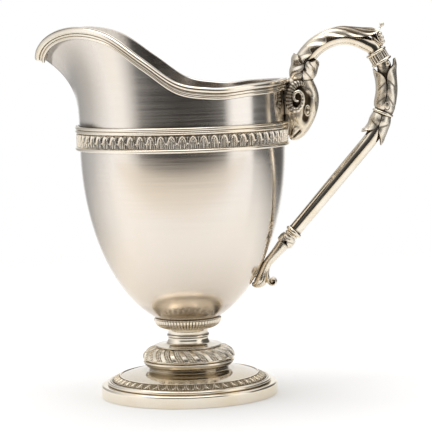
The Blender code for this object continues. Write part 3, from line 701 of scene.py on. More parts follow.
class NodeSheet:
    """A material's or world's node tree, filled one node at a time."""

    def __init__(self, owner: bpy.types.Material | bpy.types.World) -> None:
        """Turns on the owner's nodes and clears them.

        Args:
            owner: A material or the world.
        """
        owner.use_nodes = True
        self.tree = owner.node_tree
        self.tree.nodes.clear()

    def add(self, kind: str, inputs: dict | None = None, **settings: object) -> bpy.types.Node:
        """Adds a node, sets its properties, and fills its inputs with values or links.

        Args:
            kind: Blender's name for the node.
            inputs: A value or an output socket for each input, by name or number.
            **settings: Properties of the node.

        Returns:
            The node.
        """
        node = self.tree.nodes.new(kind)
        for name, value in settings.items():
            setattr(node, name, value)
        for name, value in (inputs or {}).items():
            if isinstance(value, Socket):
                self.tree.links.new(value, node.inputs[name])
            else:
                node.inputs[name].default_value = value
        return node

    def sums(self, operation: str, *values: object) -> Socket:
        """A math node's result."""
        return self.add("ShaderNodeMath", dict(enumerate(values)), operation=operation).outputs[0]

    def ranged(self, value: object, low: float, high: float, to_low: object, to_high: float) -> Socket:
        """A value moved smoothly from one range to another."""
        inputs = {"Value": value, "From Min": low, "From Max": high, "To Min": to_low, "To Max": to_high}
        return self.add("ShaderNodeMapRange", inputs, interpolation_type="SMOOTHSTEP").outputs["Result"]

    def mixed(self, share: object, first: object, second: object) -> Socket:
        """A mix of two colours."""
        return self.add("ShaderNodeMix", {0: share, 6: first, 7: second}, data_type="RGBA").outputs[2]

    def ramp(self, value: object, stops: Sequence[Pair]) -> Socket:
        """A grey ramp's result.

        Args:
            value: Where on the ramp, 0 to 1.
            stops: Places and levels, in rising order of place.

        Returns:
            The level as a socket.
        """
        node = self.add("ShaderNodeValToRGB", {0: value})
        elements = node.color_ramp.elements
        for number, (place, level) in enumerate(stops):
            stop = elements[number] if number < 2 else elements.new(place)
            stop.position = place
            stop.color = (level, level, level, 1.0)
        return node.outputs[0]

    def noise(self, place: object, scale: float, detail: float) -> Socket:
        """The grey value of a noise texture."""
        inputs = {"Vector": place, "Scale": scale, "Detail": detail}
        return self.add("ShaderNodeTexNoise", inputs).outputs[0]


@dataclass(frozen=True)
class Finish:
    """A finish of the silver.

    Attributes:
        colour, warm, tarnish: The rubbed metal, a thin golden film on it, and what fills its hollows,
        which also colours the painted shade and painted reflections that some recess values carry.
        roughness: Lowest and highest roughness of the rubbed metal.
        dulled: What the tarnish adds to it.
        grain, grain_depth: Repeats of the brushing per metre along X, Y and Z, and its depth.
        clouds, cloud_share: Repeats of the film's clouds per metre, and how much of it they carry.
        low_film: How much of it is added from the bowl's widest part down to the stem.
        dents: Depth of the hammer's unevenness, in metres.
        brushed: How strongly the gloss is drawn out across the brushing.
        detail: Octaves of the grain, and of the clouds.
        grain_span: Grain values at the lowest and the highest roughness.
        cloud_span, hollow_span: Values at which the film and the dark tarnish begin and are full.
        fineness, wear: How much finer than the clouds the hollows' worn edges are, and how worn.
    """

    name: str
    slot: Slot
    colour: Colour
    warm: Colour
    tarnish: Colour
    roughness: Pair
    dulled: float
    grain: tuple[float, float, float]
    grain_depth: float
    clouds: float
    cloud_share: float
    low_film: float
    dents: float
    brushed: float
    detail: Pair = (3.0, 4.0)
    grain_span: Pair = (0.3, 0.7)
    cloud_span: Pair = (0.35, 0.7)
    hollow_span: Pair = (0.34, 0.97)
    fineness: float = 40.0
    wear: float = 0.2

    def material(self) -> bpy.types.Material:
        """The finish as nodes on Object coordinates and the pieces' recess values.

        Returns:
            A new material.
        """
        material = bpy.data.materials.new(self.name)
        sheet = NodeSheet(material)
        place = sheet.add("ShaderNodeTexCoord").outputs["Object"]
        lines = sheet.add("ShaderNodeMapping", {"Vector": place, "Scale": self.grain}).outputs[0]
        grain = sheet.noise(lines, 1.0, self.detail[0])
        cloud = sheet.noise(place, self.clouds, self.detail[1])
        fine = sheet.noise(place, self.fineness * self.clouds, self.detail[0])
        recess = sheet.add("ShaderNodeAttribute", attribute_name="recess").outputs["Fac"]
        worn = sheet.sums("MULTIPLY_ADD", fine, self.wear, recess)
        hollow = sheet.ranged(worn, *self.hollow_span, 0.0, 1.0)
        height = sheet.add("ShaderNodeSeparateXYZ", {0: place}).outputs[2]
        low = sheet.ranged(height, STACK.bowl_centre, STACK.collar_base, 0.0, self.low_film)
        film = sheet.sums("ADD", sheet.ranged(cloud, *self.cloud_span, 0.0, self.cloud_share), low)
        metal = sheet.mixed(film, self.colour, self.warm)
        colour = sheet.mixed(hollow, metal, self.tarnish)
        rubbed = sheet.ranged(grain, *self.grain_span, *self.roughness)
        roughness = sheet.sums("MULTIPLY_ADD", hollow, self.dulled, rubbed)
        dents = sheet.add("ShaderNodeBump", {"Height": cloud, "Distance": self.dents, "Strength": 1.0})
        brushing = sheet.add(
            "ShaderNodeBump",
            {"Height": grain, "Distance": self.grain_depth, "Strength": 1.0, "Normal": dents.outputs[0]},
        )
        tangent = sheet.add("ShaderNodeTangent", direction_type="UV_MAP", uv_map="grid")
        shader = sheet.add(
            "ShaderNodeBsdfPrincipled",
            {
                "Base Color": colour,
                "Metallic": 1.0,
                "Roughness": roughness,
                "Anisotropic": self.brushed,
                "Normal": brushing.outputs[0],
                "Tangent": tangent.outputs[0],
            },
        )
        sheet.add("ShaderNodeOutputMaterial", {"Surface": shader.outputs[0]})
        return material


SATIN = Finish(
    name="satin_sheet_silver", slot=Slot.SATIN, colour=(0.8, 0.752, 0.7, 1.0),
    warm=(0.785, 0.69, 0.575, 1.0), tarnish=(0.1, 0.075, 0.05, 1.0), roughness=(0.14, 0.21),
    dulled=-0.12, grain=(20.0, 20.0, 1100.0), grain_depth=0.0000015, clouds=22.0,
    cloud_share=0.4, low_film=0.8, dents=0.00003, brushed=0.5,
)
BRIGHT = Finish(
    name="bright_trim_silver", slot=Slot.BRIGHT, colour=(0.9, 0.83, 0.73, 1.0),
    warm=(0.82, 0.71, 0.53, 1.0), tarnish=(0.16, 0.12, 0.065, 1.0), roughness=(0.1, 0.17), dulled=0.25,
    grain=(60.0, 60.0, 900.0), grain_depth=0.000001, clouds=60.0, cloud_share=0.5, low_film=0.2,
    dents=0.00001, brushed=0.2,
)
CHASED = replace(BRIGHT, name="chased_trim_silver", roughness=(0.2, 0.3))
SPUN = replace(BRIGHT, name="spun_foot_silver", roughness=(0.08, 0.13), dulled=0.0)
CAST = Finish(
    name="cast_golden_silver", slot=Slot.CAST, colour=(0.9, 0.83, 0.72, 1.0),
    warm=(0.8, 0.69, 0.51, 1.0), tarnish=(0.085, 0.06, 0.036, 1.0), roughness=(0.25, 0.37), dulled=0.25,
    grain=(500.0, 500.0, 500.0), grain_depth=0.00001, clouds=140.0, cloud_share=0.6,
    low_film=0.0, dents=0.00003, brushed=0.0,
)
TURNED = replace(
    CAST, name="turned_golden_silver", roughness=(0.08, 0.13), grain_depth=0.000001, dents=0.00001
)


class Bench:
    """Where pieces are put together: the jug's axis in the frame, and the materials made so far."""

    def __init__(self) -> None:
        """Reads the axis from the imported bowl."""
        low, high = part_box("bowl")
        self.axis = (low.x + high.x) / 2
        self.materials: dict[str, bpy.types.Material] = {}

    def mesh(self, name: str, skins: Sequence[Skin]) -> bpy.types.Mesh:
        """One mesh of closed surfaces, with their places on the grid as UV values and their recess values.

        Args:
            name: The mesh's name.
            skins: The surfaces. One that isn't a ring is capped at its first and its last row.

        Returns:
            The mesh, on the jug's axis.
        """
        points, recess, faces, places = [], [], [], []
        start = 0
        for skin in skins:
            rows, columns = skin.points.shape[:2]
            quads, uv = skin.quads()
            faces += (quads + start).tolist()
            places.append(uv)
            if not skin.ring:
                top = np.arange(columns)
                faces += [(start + top).tolist(), (start + (rows - 1) * columns + top[::-1]).tolist()]
                places.append(np.zeros((2 * columns, 2)))
            points.append(skin.points.reshape(-1, 3))
            recess.append(skin.recess.ravel())
            start += rows * columns
        mesh = bpy.data.meshes.new(name)
        mesh.from_pydata((np.concatenate(points) + (self.axis, 0.0, 0.0)).tolist(), [], faces)
        grid = mesh.uv_layers.new(name="grid")
        grid.data.foreach_set("uv", np.concatenate(places).astype(np.float32).ravel())
        values = mesh.attributes.new("recess", "FLOAT", "POINT")
        values.data.foreach_set("value", np.concatenate(recess).astype(np.float32))
        return mesh

    def make(self, node: str, skins: Sequence[Skin], finish: Finish, edges: Edges = Edges.PLAIN) -> None:
        """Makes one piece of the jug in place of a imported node, riding on the jug.

        Args:
            node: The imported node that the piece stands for.
            skins: The closed surfaces that make it up.
            finish: Its finish.
            edges: Which of its edges stay sharp.
        """
        name = f"{node}_silver"
        mesh = self.mesh(name, skins)
        mesh.shade_smooth()
        mesh.set_sharp_from_angle(angle=math.radians(edges.value))
        piece = bpy.data.objects.new(name, mesh)
        bpy.context.scene.collection.objects.link(piece)
        if finish.name not in self.materials:
            self.materials[finish.name] = finish.material()
        mesh.materials.append(self.materials[finish.name])
        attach(piece, "root")
        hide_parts(node)
        LOG.info("%s: %d faces, %s", name, len(mesh.polygons), finish.name)


@dataclass
class Body:
    """Bowl, neck with its spout, reeded lip and leaf-tip band.

    A tarnish or painted shade of two values is an amount and the run over which it dies out, and a span
    is where something begins and where it is full.
    """

    columns: int = 288
    levels: int = 56
    lip_round: int = 5
    # Painted dark reflection of the stem's cup and foot low on the bowl, partly tarnish.
    cup_reflection_and_tarnish: float = 0.42
    cup_reflection_span: Pair = (0.0408, 0.0368)
    rim_angles: tuple = (0.0, 45.0, 72.0, 90.0, 107.0, 124.0, 139.0, 150.0, 161.0, 171.0, 180.0)
    rim_heights: tuple = (
        0.0213, 0.0203, 0.0195, 0.0222, 0.0315, 0.0413, 0.0439, 0.0428, 0.0399, 0.0363, 0.0335,
    )
    spout_reach: float = 0.0572
    spout_sweep: float = 2.5
    spout_pinch: float = 0.3
    spout_pinch_power: float = 5.0
    spout_flare: float = 3.4
    side_flare: float = 1.6
    spout_film: float = 0.5
    # A painted dark reflection of the band, low on the neck towards the spout: amount and run.
    seam_painted_reflection: Pair = (1.1, 0.0019)
    painted_reflection_span: Pair = (0.6, 0.78)
    film_span: Pair = (-0.2, 0.5)
    flare_span: Pair = (0.5, 0.97)
    level_power: float = 0.7
    lowest_level: float = 0.004
    lip_level: float = 0.999
    # Painted shade on the bowl just under the band: amount and run.
    band_painted_shade: Pair = (0.6, 0.0008)
    band_cover: float = 0.0042
    over_band: tuple = ((0.5, 0.0006), (0.35, 0.003))
    lip_cover: float = 0.0042
    under_lip: Pair = (0.6, 0.0005)
    reed_spread: float = 78.0
    reed_points: int = 13
    reed_radii: tuple = (0.00115, 0.00055, 0.00065)
    reed_back: float = 0.0006
    reed_rise: float = 0.0005
    band_inner: float = 0.0416
    lower_wire: float = 0.00075
    strip_height: float = 0.0049
    strip_thickness: float = 0.0006
    upper_wire: float = 0.0007
    wire_spread: float = 80.0
    wire_points: int = 11
    tips: TipRow = TipRow(leaves=64, rows=26, span=(1.03, -0.05), relief=0.0005, ground=0.4)
    tip_tarnish: float = 0.72

    def build(self, bench: Bench) -> None:
        """Makes and dresses the body's six pieces.

        Args:
            bench: Where the pieces are made.
        """
        bench.make("bowl", [self.bowl()], SATIN)
        bench.make("neck_spout", [self.neck()], SATIN)
        bench.make("rim_moulding", [self.moulding()], BRIGHT)
        centre = (self.band_inner + self.lower_wire, STACK.band_base + self.lower_wire)
        bench.make("frieze_lower_wire", [round_wire(centre, self.lower_wire, self.columns)], BRIGHT)
        bench.make("frieze_strip", [self.strip()], BRIGHT, Edges.CARVED)
        bench.make("frieze_upper_wire", [self.double_wire()], BRIGHT)

    def bowl(self) -> Skin:
        """The bowl: a half ellipsoid of sheet, up its inner wall, over the seam and down its outer wall.

        Returns:
            The skin, with a painted dark reflection of the stem's cup outside, partly tarnish, and a
            painted shade under the band.
        """
        angle = np.linspace(0.0, math.pi / 2, self.levels)
        walls = []
        for inset in (STACK.sheet, 0.0):
            radius = np.maximum((STACK.bowl_radius - inset) * np.cos(angle), STACK.pole)
            height = STACK.bowl_centre - (STACK.bowl_depth - inset) * np.sin(angle)
            wall = np.column_stack([radius, height])
            walls.append(np.vstack([(STACK.bowl_radius - inset, STACK.neck_base), wall]))
        skin = turned(np.vstack([walls[0][::-1], walls[1]]), self.columns)
        outside = (np.arange(len(skin.points)) > self.levels)[:, None]
        height = skin.points[..., 2]
        # Painted dark reflection of the stem's cup and foot, partly tarnish.
        cup = self.cup_reflection_and_tarnish * step(*self.cup_reflection_span, height)
        # Painted shade just under the band.
        band = trail(*self.band_painted_shade, STACK.band_base - height)
        return skin.toned((cup + band) * outside)

    def rim(self, turn: Array) -> tuple[Array, Array, Array]:
        """The lip's outline at turns from the handle round the jug.

        In plan it is a circle drawn out to the spout's reach by a power of the cosine and pinched
        towards the tip by another. Its height is a smooth curve, the same on both sides.

        Args:
            turn: Angles in radians.

        Returns:
            Plan radius, plan bearing and height above the seam.
        """
        ahead = np.clip(-np.cos(turn), 0.0, None)
        drawn = (self.spout_reach - STACK.bowl_radius) * ahead**self.spout_sweep
        x = STACK.bowl_radius * np.cos(turn) - drawn
        y = STACK.bowl_radius * np.sin(turn) * (1.0 - self.spout_pinch * ahead**self.spout_pinch_power)
        fold = np.degrees(np.arccos(np.cos(turn))).ravel()
        angles = (-self.rim_angles[1], *self.rim_angles, 2 * self.rim_angles[-1] - self.rim_angles[-2])
        heights = (self.rim_heights[1], *self.rim_heights, self.rim_heights[-2])
        return np.hypot(x, y), np.arctan2(y, x), through(angles, heights, fold).reshape(turn.shape)

    def wall(self, turn: Array, level: Array) -> Array:
        """Points of the neck's outer wall.

        Each upright line stays in one plane through the axis and flares from the seam's radius to the
        lip's as a power of the level, a steep one at the spout's tip and an easy one at its sides.

        Args:
            turn: Angles round the jug.
            level: 0 at the seam, 1 at the lip.

        Returns:
            Points in space.
        """
        reach, bearing, height = self.rim(turn)
        steeper = step(*self.flare_span, -np.cos(turn))
        power = self.side_flare + (self.spout_flare - self.side_flare) * steeper
        radius = STACK.bowl_radius + (reach - STACK.bowl_radius) * level**power
        return np.stack(
            [radius * np.cos(bearing), radius * np.sin(bearing), STACK.neck_base + height * level], axis=-1
        )

    def wall_frame(self, turn: Array, level: Array) -> tuple[Array, Array]:
        """Directions of the neck's wall, from small differences.

        Args:
            turn: Angles round the jug.
            level: 0 at the seam, 1 at the lip.

        Returns:
            Outward unit normals, and the wall's length in metres per level.
        """
        tiny = 0.001
        around = self.wall(turn + tiny, level) - self.wall(turn - tiny, level)
        up = self.wall(turn, level + tiny) - self.wall(turn, level - tiny)
        return unit(np.cross(around, up)), np.linalg.norm(up, axis=-1) / (2 * tiny)

    def neck(self) -> Skin:
        """The neck: down its outer wall from the lip and up its inner wall, with a rounded lip between.

        Returns:
            The skin, darker over the band, under the lip and inside the spout, with a painted reflection
            of the band low on the neck towards the spout.
        """
        turn = circle(self.columns)
        level = np.linspace(1.0, 0.0, self.levels)[:, None] ** self.level_power
        outer = self.wall(*np.broadcast_arrays(turn, level))
        normal, _ = self.wall_frame(*np.broadcast_arrays(turn, np.maximum(level, self.lowest_level)))
        inner = outer - STACK.sheet * normal
        lip = np.linspace(0.0, math.pi, self.lip_round + 2)[1:-1, None, None]
        middle, half = (outer[:1] + inner[:1]) / 2, (inner[:1] - outer[:1]) / 2
        crown = np.array((0.0, 0.0, STACK.sheet / 2))
        over = middle + half * np.cos(lip) + crown * np.sin(lip)
        rise = outer[..., 2] - STACK.neck_base
        clear = rise - self.band_cover
        seam = sum(trail(*film, clear) for film in self.over_band)
        # Painted reflection of the band, low on the neck towards the spout.
        painted_reflection = trail(*self.seam_painted_reflection, clear) * step(*self.painted_reflection_span, -np.cos(turn))
        under_lip = trail(*self.under_lip, rise[0] - rise - self.lip_cover)
        inside = np.broadcast_to(self.spout_film * step(*self.film_span, -np.cos(turn)), rise.shape)
        recess = np.concatenate([seam + under_lip + painted_reflection, inside, np.zeros(over.shape[:2])])
        return Skin(np.concatenate([outer, inner[::-1], over]), recess, True)

    def moulding(self) -> Skin:
        """The reeded wire: half-round reeds one under the other, set off the wall along its normal.

        Returns:
            The skin, dark between its reeds.
        """
        out, radii = STACK.seat + self.reed_back, self.reed_radii
        section, recess = reeds(0.0, out, self.reed_rise, radii, self.reed_spread, self.reed_points)
        turn = circle(2 * self.columns)
        _, speed = self.wall_frame(turn, np.full_like(turn, self.lip_level))
        grid = np.broadcast_arrays(turn, 1.0 + section[:, 1:] / speed)
        normal, _ = self.wall_frame(*grid)
        points = self.wall(*grid) + section[:, :1, None] * normal
        return Skin(points, recess[:, None], True)

    def strip(self) -> Skin:
        """The band's strip: a thin upright ring, its front carved with leaf tips.

        Returns:
            The skin, dark between the leaves.
        """
        base, top = STACK.strip_base - STACK.seat, STACK.strip_base + self.strip_height + STACK.seat
        inner, face = self.band_inner, self.band_inner + self.strip_thickness
        height, hollow = self.tips.carving()
        front, back = ((face, top), (face, base)), ((inner, base), (inner, top))
        return self.tips.strip(front, back, height, self.tip_tarnish * hollow)

    def double_wire(self) -> Skin:
        """The band's upper wire: two reeds on a flat back.

        Returns:
            The skin, dark between its reeds.
        """
        back, radius = self.band_inner, self.upper_wire
        top = STACK.upper_wire_base + 4 * radius
        profile, recess = reeds(
            back, back + radius, top, (radius, radius), self.wire_spread, self.wire_points
        )
        return turned(profile, self.columns, True).toned(recess[:, None])


@dataclass
class Foot:
    """Plinth, bead, leaf frieze and spun dome."""

    columns: int = 256
    plinth_radius: float = 0.0356
    plinth_wall: float = 0.002
    plinth_round: float = 0.0009
    plinth_toe: float = 0.0003
    flange: float = 0.0012
    bead: float = 0.0007
    skirt_radius: float = 0.0315
    skirt_lip: float = 0.0007
    frieze_run: float = 0.0037
    frieze_rise: float = 0.0022
    frieze_face: float = 0.0003
    dome: tuple = (
        (0.0183, 0.0134), (0.0178, 0.0127), (0.0168, 0.0117), (0.016, 0.0111),
        (0.0162, 0.0107), (0.018, 0.0104), (0.0225, 0.0097), (0.0278, 0.0083),
    )
    dome_rows: int = 48
    crown_inset: float = 0.0002
    drum_inner: float = 0.015
    dome_inner: tuple = ((0.0152, 0.0098), (0.027, 0.0074), (0.0306, 0.0055))
    drum_reach: Pair = (0.02, 0.0175)
    drum_level: Pair = (0.01, 0.0106)
    drum_film: float = 0.08
    slope_film: float = 0.46
    tips: TipRow = TipRow(leaves=48, rows=30, span=(-0.12, 1.14), relief=0.0004, ground=0.5)
    tip_root: Pair = (-0.02, 0.07)
    tip_film: float = 0.58
    tip_shine: float = 0.36
    lower_border: Pair = (-0.02, -0.08)
    upper_border: Pair = (1.02, 1.09)
    border_relief: float = 0.9
    border_shine: float = 0.6

    def build(self, bench: Bench) -> None:
        """Makes and dresses the foot's four pieces.

        Args:
            bench: Where the pieces are made.
        """
        base = STACK.plinth_top + STACK.seat + self.skirt_lip
        low = np.array([self.skirt_radius, base])
        high = np.array([self.skirt_radius - self.frieze_run, base + self.frieze_rise])
        bench.make("foot_plinth", [self.plinth()], BRIGHT)
        bench.make("foot_bead", [self.wire()], BRIGHT)
        bench.make("foot_dome", [self.spun(low, high)], SPUN)
        bench.make("foot_frieze", [self.frieze(low, high)], BRIGHT, Edges.CARVED)

    def plinth(self) -> Skin:
        """The upright ring that the jug stands on, with a rounded shoulder and a ledge for the dome.

        Returns:
            The skin.
        """
        top, radius, corner, toe = STACK.plinth_top, self.plinth_radius, self.plinth_round, self.plinth_toe
        shoulder = arc((radius - corner, top - corner), (corner, corner), 90, 0, 9)
        foot = arc((radius - toe, toe), (toe, toe), 0, -90, 5)
        inner, ledge = radius - self.plinth_wall, self.skirt_radius - STACK.sheet
        inside = [(inner, 0.0), (inner, top - self.flange), (ledge, top - self.flange), (ledge, top)]
        return turned(np.vstack([shoulder, foot, inside]), self.columns, True)

    def wire(self) -> Skin:
        """The wire in the step over the plinth.

        Returns:
            The skin, darker the further down it is.
        """
        centre = (self.skirt_radius + STACK.seat + self.bead, STACK.plinth_top + self.bead)
        skin = round_wire(centre, self.bead, self.columns)
        return skin.toned(np.clip((centre[1] - skin.points[..., 2]) / self.bead, 0.0, 1.0) ** 2)

    def spun(self, low: Array, high: Array) -> Skin:
        """The spun dome with its hollow drum, a smooth curve down to the frieze's flat slope.

        Args:
            low: Lower edge of that slope, as (radius, height).
            high: Its upper edge.

        Returns:
            The skin, with a film of tarnish.
        """
        rim, crest = self.dome[0]
        crown = line((STACK.pole, crest), (rim - self.crown_inset, crest), 6)
        skirt = (self.skirt_radius, STACK.plinth_top)
        outer = np.vstack([crown, smooth_path(self.dome, self.dome_rows), high, low, skirt])
        under = STACK.drum_top - STACK.sheet
        hem = (self.dome_inner[-1][0], STACK.plinth_top)
        inner = np.array([(STACK.pole, under), (self.drum_inner, under), *self.dome_inner, hem])
        skin = turned(np.vstack([outer, inner[::-1]]), self.columns)
        reach = np.hypot(skin.points[..., 0], skin.points[..., 1])
        drum = step(*self.drum_reach, reach) * step(*self.drum_level, skin.points[..., 2])
        return skin.toned(self.slope_film + self.drum_film * drum)

    def frieze(self, low: Array, high: Array) -> Skin:
        """The strip on the slope: leaf tips that point down between two plain borders.

        Args:
            low: Lower edge of the slope, as (radius, height).
            high: Its upper edge.

        Returns:
            The skin, dark between the leaves.
        """
        over = unit(np.array([self.frieze_rise, self.frieze_run])) * self.frieze_face
        front, back = (high + over, low + over), (low - over, high - over)
        level = self.tips.levels()
        height, hollow = self.tips.carving()
        border = np.maximum(step(*self.lower_border, level), step(*self.upper_border, level))
        height = np.maximum(height * step(*self.tip_root, level), self.border_relief * border)
        shine = (1.0 - self.border_shine * border) * (1.0 - self.tip_shine * height)
        return self.tips.strip(front, back, height, np.clip(self.tip_film + hollow, 0.0, 1.0) * shine)


@dataclass
class Stem:
    """Flat wire, ribboned knop, cap, spool and the gadrooned cup under the bowl."""

    columns: int = 192
    wire_height: float = 0.0007
    wire_width: float = 0.0025
    knop_radius: float = 0.0185
    knop_top: float = 0.0134
    knop_height: float = 0.005
    knop_foot: float = 0.001
    ribbons: int = 24
    ribbon_steps: int = 40
    ribbon_twist: float = 0.85
    ribbon_beads: float = 9.0
    ribbon_relief: float = 0.0004
    cap_radius: float = 0.0132
    cap_height: float = 0.0018
    cap_edge: float = 0.33
    cap_film: float = 0.45
    waist: float = 0.0005
    stem_height: float = 0.0049
    ring_height: float = 0.0012
    ring_drop: float = 0.0026
    collar_radius: float = 0.0136
    collar_lip: float = 0.0127
    collar_round: float = 0.0007
    collar_bore: float = 0.005
    flutes: int = 64
    flute_steps: int = 14
    flute_relief: float = 0.0005
    flute_tarnish: float = 0.78
    flute_rows: int = 30
    flute_end: Pair = (0.93, 1.0)
    lip_rows: int = 8
    lip_arc: Pair = (84.0, 6.0)
    lip_span: Pair = (0.15, 0.6)
    knop_rows: int = 64
    crown_inset: float = 0.0002
    plain_rise: Pair = (0.0, 0.05)
    plain_fall: Pair = (0.46, 0.41)
    plain_end: float = 0.47
    plain_relief: float = 0.8
    border_width: float = 0.035
    bead_middle: float = 0.73
    bead_offset: float = 0.11
    bead_half: Pair = (0.1, 0.47)
    bead_relief: float = 0.75
    knop_ground: float = 0.6
    knop_tarnish: float = 0.8
    cap_round: Pair = (0.0002, 0.0003)
    spool_film: float = 0.3
    spool_tarnish: Pair = (0.5, 0.0002)

    def build(self, bench: Bench) -> None:
        """Makes and dresses the stem's five pieces.

        Args:
            bench: Where the pieces are made.
        """
        bench.make("knop_wire", [self.wire()], BRIGHT)
        bench.make("knop", [self.knop()], CHASED, Edges.CARVED)
        bench.make("knop_cap", [self.cap()], SPUN)
        bench.make("stem_spool", [self.spool()], TURNED)
        bench.make("gadroon_collar", [self.collar()], BRIGHT, Edges.CARVED)

    def wire(self) -> Skin:
        """The flat wire under the knop, with a half-round edge.

        Returns:
            The skin.
        """
        half = self.wire_height / 2 + STACK.seat / 2
        centre = (self.knop_radius - half, STACK.knop_wire_base + self.wire_height / 2)
        edge = arc(centre, (half, half), 90, -90, 11)
        inner = self.knop_radius - self.wire_width
        return turned(np.vstack([edge, (inner, edge[-1, 1]), (inner, edge[0, 1])]), self.columns, True)

    def knop(self) -> Skin:
        """The swollen ring: a quarter-ellipse ovolo with slanting ribbons, plain and beaded by turns.

        A ribbon's phase is the turn times their number less a twist down the ovolo. The plain half is
        a flat-topped ridge, and the beaded half a hollow with two rows of half balls.

        Returns:
            The skin, dark between the balls.
        """
        top = STACK.knop_base + self.knop_height + STACK.seat / 2
        shoulder = STACK.knop_base + self.knop_foot
        swell = (self.knop_radius - self.knop_top, self.knop_height - self.knop_foot)
        crown = line((STACK.pole, top), (self.knop_top - self.crown_inset, top), 3)
        ovolo = arc((self.knop_top, shoulder), swell, 88, 0, self.knop_rows)
        toe = (self.knop_radius - self.knop_foot, shoulder)
        under = arc(toe, (self.knop_foot, self.knop_foot), 0, -90, 7)[1:]
        floor = np.array([(STACK.pole, STACK.knop_base)])
        skin = turned(np.vstack([crown, ovolo, under, floor]), self.ribbons * self.ribbon_steps)
        down = rising(self.knop_rows)
        around = np.linspace(0.0, self.ribbons, self.ribbons * self.ribbon_steps, endpoint=False)
        phase = np.mod(around - self.ribbon_twist * down, 1.0)
        plain = self.plain_relief * step(*self.plain_rise, phase) * step(*self.plain_fall, phase)
        borders = [bell(phase, edge[1], self.border_width) for edge in (self.plain_rise, self.plain_fall)]
        ball_across = (np.abs(phase - self.bead_middle) - self.bead_offset) / self.bead_half[0]
        ball_along = (np.mod(self.ribbon_beads * down, 1.0) - 0.5) / self.bead_half[1]
        ball = np.sqrt(np.clip(1.0 - ball_across**2 - ball_along**2, 0.0, 1.0))
        height = np.zeros(skin.points.shape[:2])
        hollow = np.zeros_like(height)
        carved = slice(len(crown), len(crown) + self.knop_rows)
        height[carved] = np.maximum.reduce([plain, *borders, self.bead_relief * ball]) - self.knop_ground
        hollow[carved] = np.where(phase < self.plain_end, 0.0, self.knop_tarnish - ball)
        return skin.raised(self.ribbon_relief * height, hollow)

    def cap(self) -> Skin:
        """The smooth cap: a quarter-ellipse hollow from the spool out to a thin upright edge.

        Returns:
            The skin, with a film of tarnish.
        """
        top = STACK.cap_base + self.cap_height
        size = (self.cap_radius - STACK.stem_radius, self.cap_height * (1 - self.cap_edge))
        hollow = arc((self.cap_radius, top), size, 180, 270, 24)
        edge = arc((self.cap_radius, STACK.cap_base + self.cap_round[1]), self.cap_round, 90, -90, 7)
        profile = capped(top + STACK.seat, np.vstack([hollow, edge]), STACK.cap_base)
        return turned(profile, self.columns).toned(self.cap_film)

    def spool(self) -> Skin:
        """The short stem: two hollows of a smooth curve with a half-round ring between them.

        Returns:
            The skin, dark on both sides of the ring.
        """
        top, base = STACK.stem_base + self.stem_height, STACK.stem_base
        radius, waist = STACK.stem_radius, STACK.stem_radius - self.waist
        ring, half = top - self.ring_drop, self.ring_height / 2
        over, under = ring + half, ring - half
        upper = smooth_path([(radius, top + STACK.seat), (waist, (top + over) / 2), (waist, over)], 14)
        swell = arc((waist, ring), (self.waist, half), 75, -75, 13)
        lower = smooth_path([(waist, under), (waist, (base + under) / 2), (radius, base - STACK.seat)], 18)
        profile = capped(top + STACK.seat, np.vstack([upper, swell, lower]), base - STACK.seat)
        skin = turned(profile, self.columns)
        near = np.minimum(np.abs(skin.points[..., 2] - over), np.abs(skin.points[..., 2] - under))
        return skin.toned(self.spool_film + trail(*self.spool_tarnish, near))

    def collar(self) -> Skin:
        """The cup under the bowl: an ovolo under a rounded lip, with upright flutes, each a half sine.

        Returns:
            The skin, dark between the flutes and against the bowl.
        """
        ends = np.degrees(np.arccos(np.array([self.collar_lip, self.collar_bore]) / STACK.bowl_radius))
        seats = [STACK.bowl_point(angle) for angle in np.linspace(*ends, 6)]
        seat = np.array([point + ON_BOWL * STACK.seat * normal for point, normal in seats])
        edge = seat[0, 1] - self.collar_round
        lip_size = (self.collar_radius - seat[0, 0], self.collar_round)
        lip = arc((seat[0, 0], edge), lip_size, *self.lip_arc, self.lip_rows)
        size = (self.collar_radius - STACK.stem_radius, edge - STACK.collar_base)
        ovolo = arc((STACK.stem_radius, edge), size, 0, -90, self.flute_rows)
        profile = np.vstack([lip, ovolo, (seat[-1, 0], STACK.collar_base - STACK.seat), seat[::-1]])
        skin = turned(profile, self.flutes * self.flute_steps, True)
        ridge = np.sin(math.pi * phases(self.flutes, self.flute_steps))
        down = rising(self.flute_rows)
        over = step(*self.lip_span, rising(self.lip_rows))
        height = np.zeros(skin.points.shape[:2])
        height[: self.lip_rows] = over * (ridge - 1.0)
        carved = slice(self.lip_rows, self.lip_rows + self.flute_rows)
        height[carved] = np.maximum(ridge, step(*self.flute_end, down)) - 1.0
        hollow = -self.flute_tarnish * height
        hollow[:2] = 1.0
        return skin.raised(self.flute_relief * height, hollow)


@dataclass(frozen=True)
class Feature:
    """A bell about a straight line on the side of the head, or about a single place.

    Attributes:
        start, end: Reach and height of the line's ends, the same for a single place.
        widths: The bell's widths along the reach and the height.
        rise: How far it stands out, or in where it is negative.
        tarnish: What sits on it; round the eye this is painted shade.
    """

    start: Pair
    end: Pair
    widths: Pair
    rise: float
    tarnish: float = 0.0

    def over(self, reach: Array, level: Array) -> Array:
        """The bell's value, from the distances to the nearest point of the line.

        Args:
            reach: Reach of places on the side of the head.
            level: Their heights.

        Returns:
            One value for each place, 0 to 1.
        """
        across, up = self.end[0] - self.start[0], self.end[1] - self.start[1]
        x, z = reach - self.start[0], level - self.start[1]
        share = np.clip((x * across + z * up) / max(across**2 + up**2, 1e-12), 0.0, 1.0)
        return bell(x - share * across, 0.0, self.widths[0]) * bell(z - share * up, 0.0, self.widths[1])


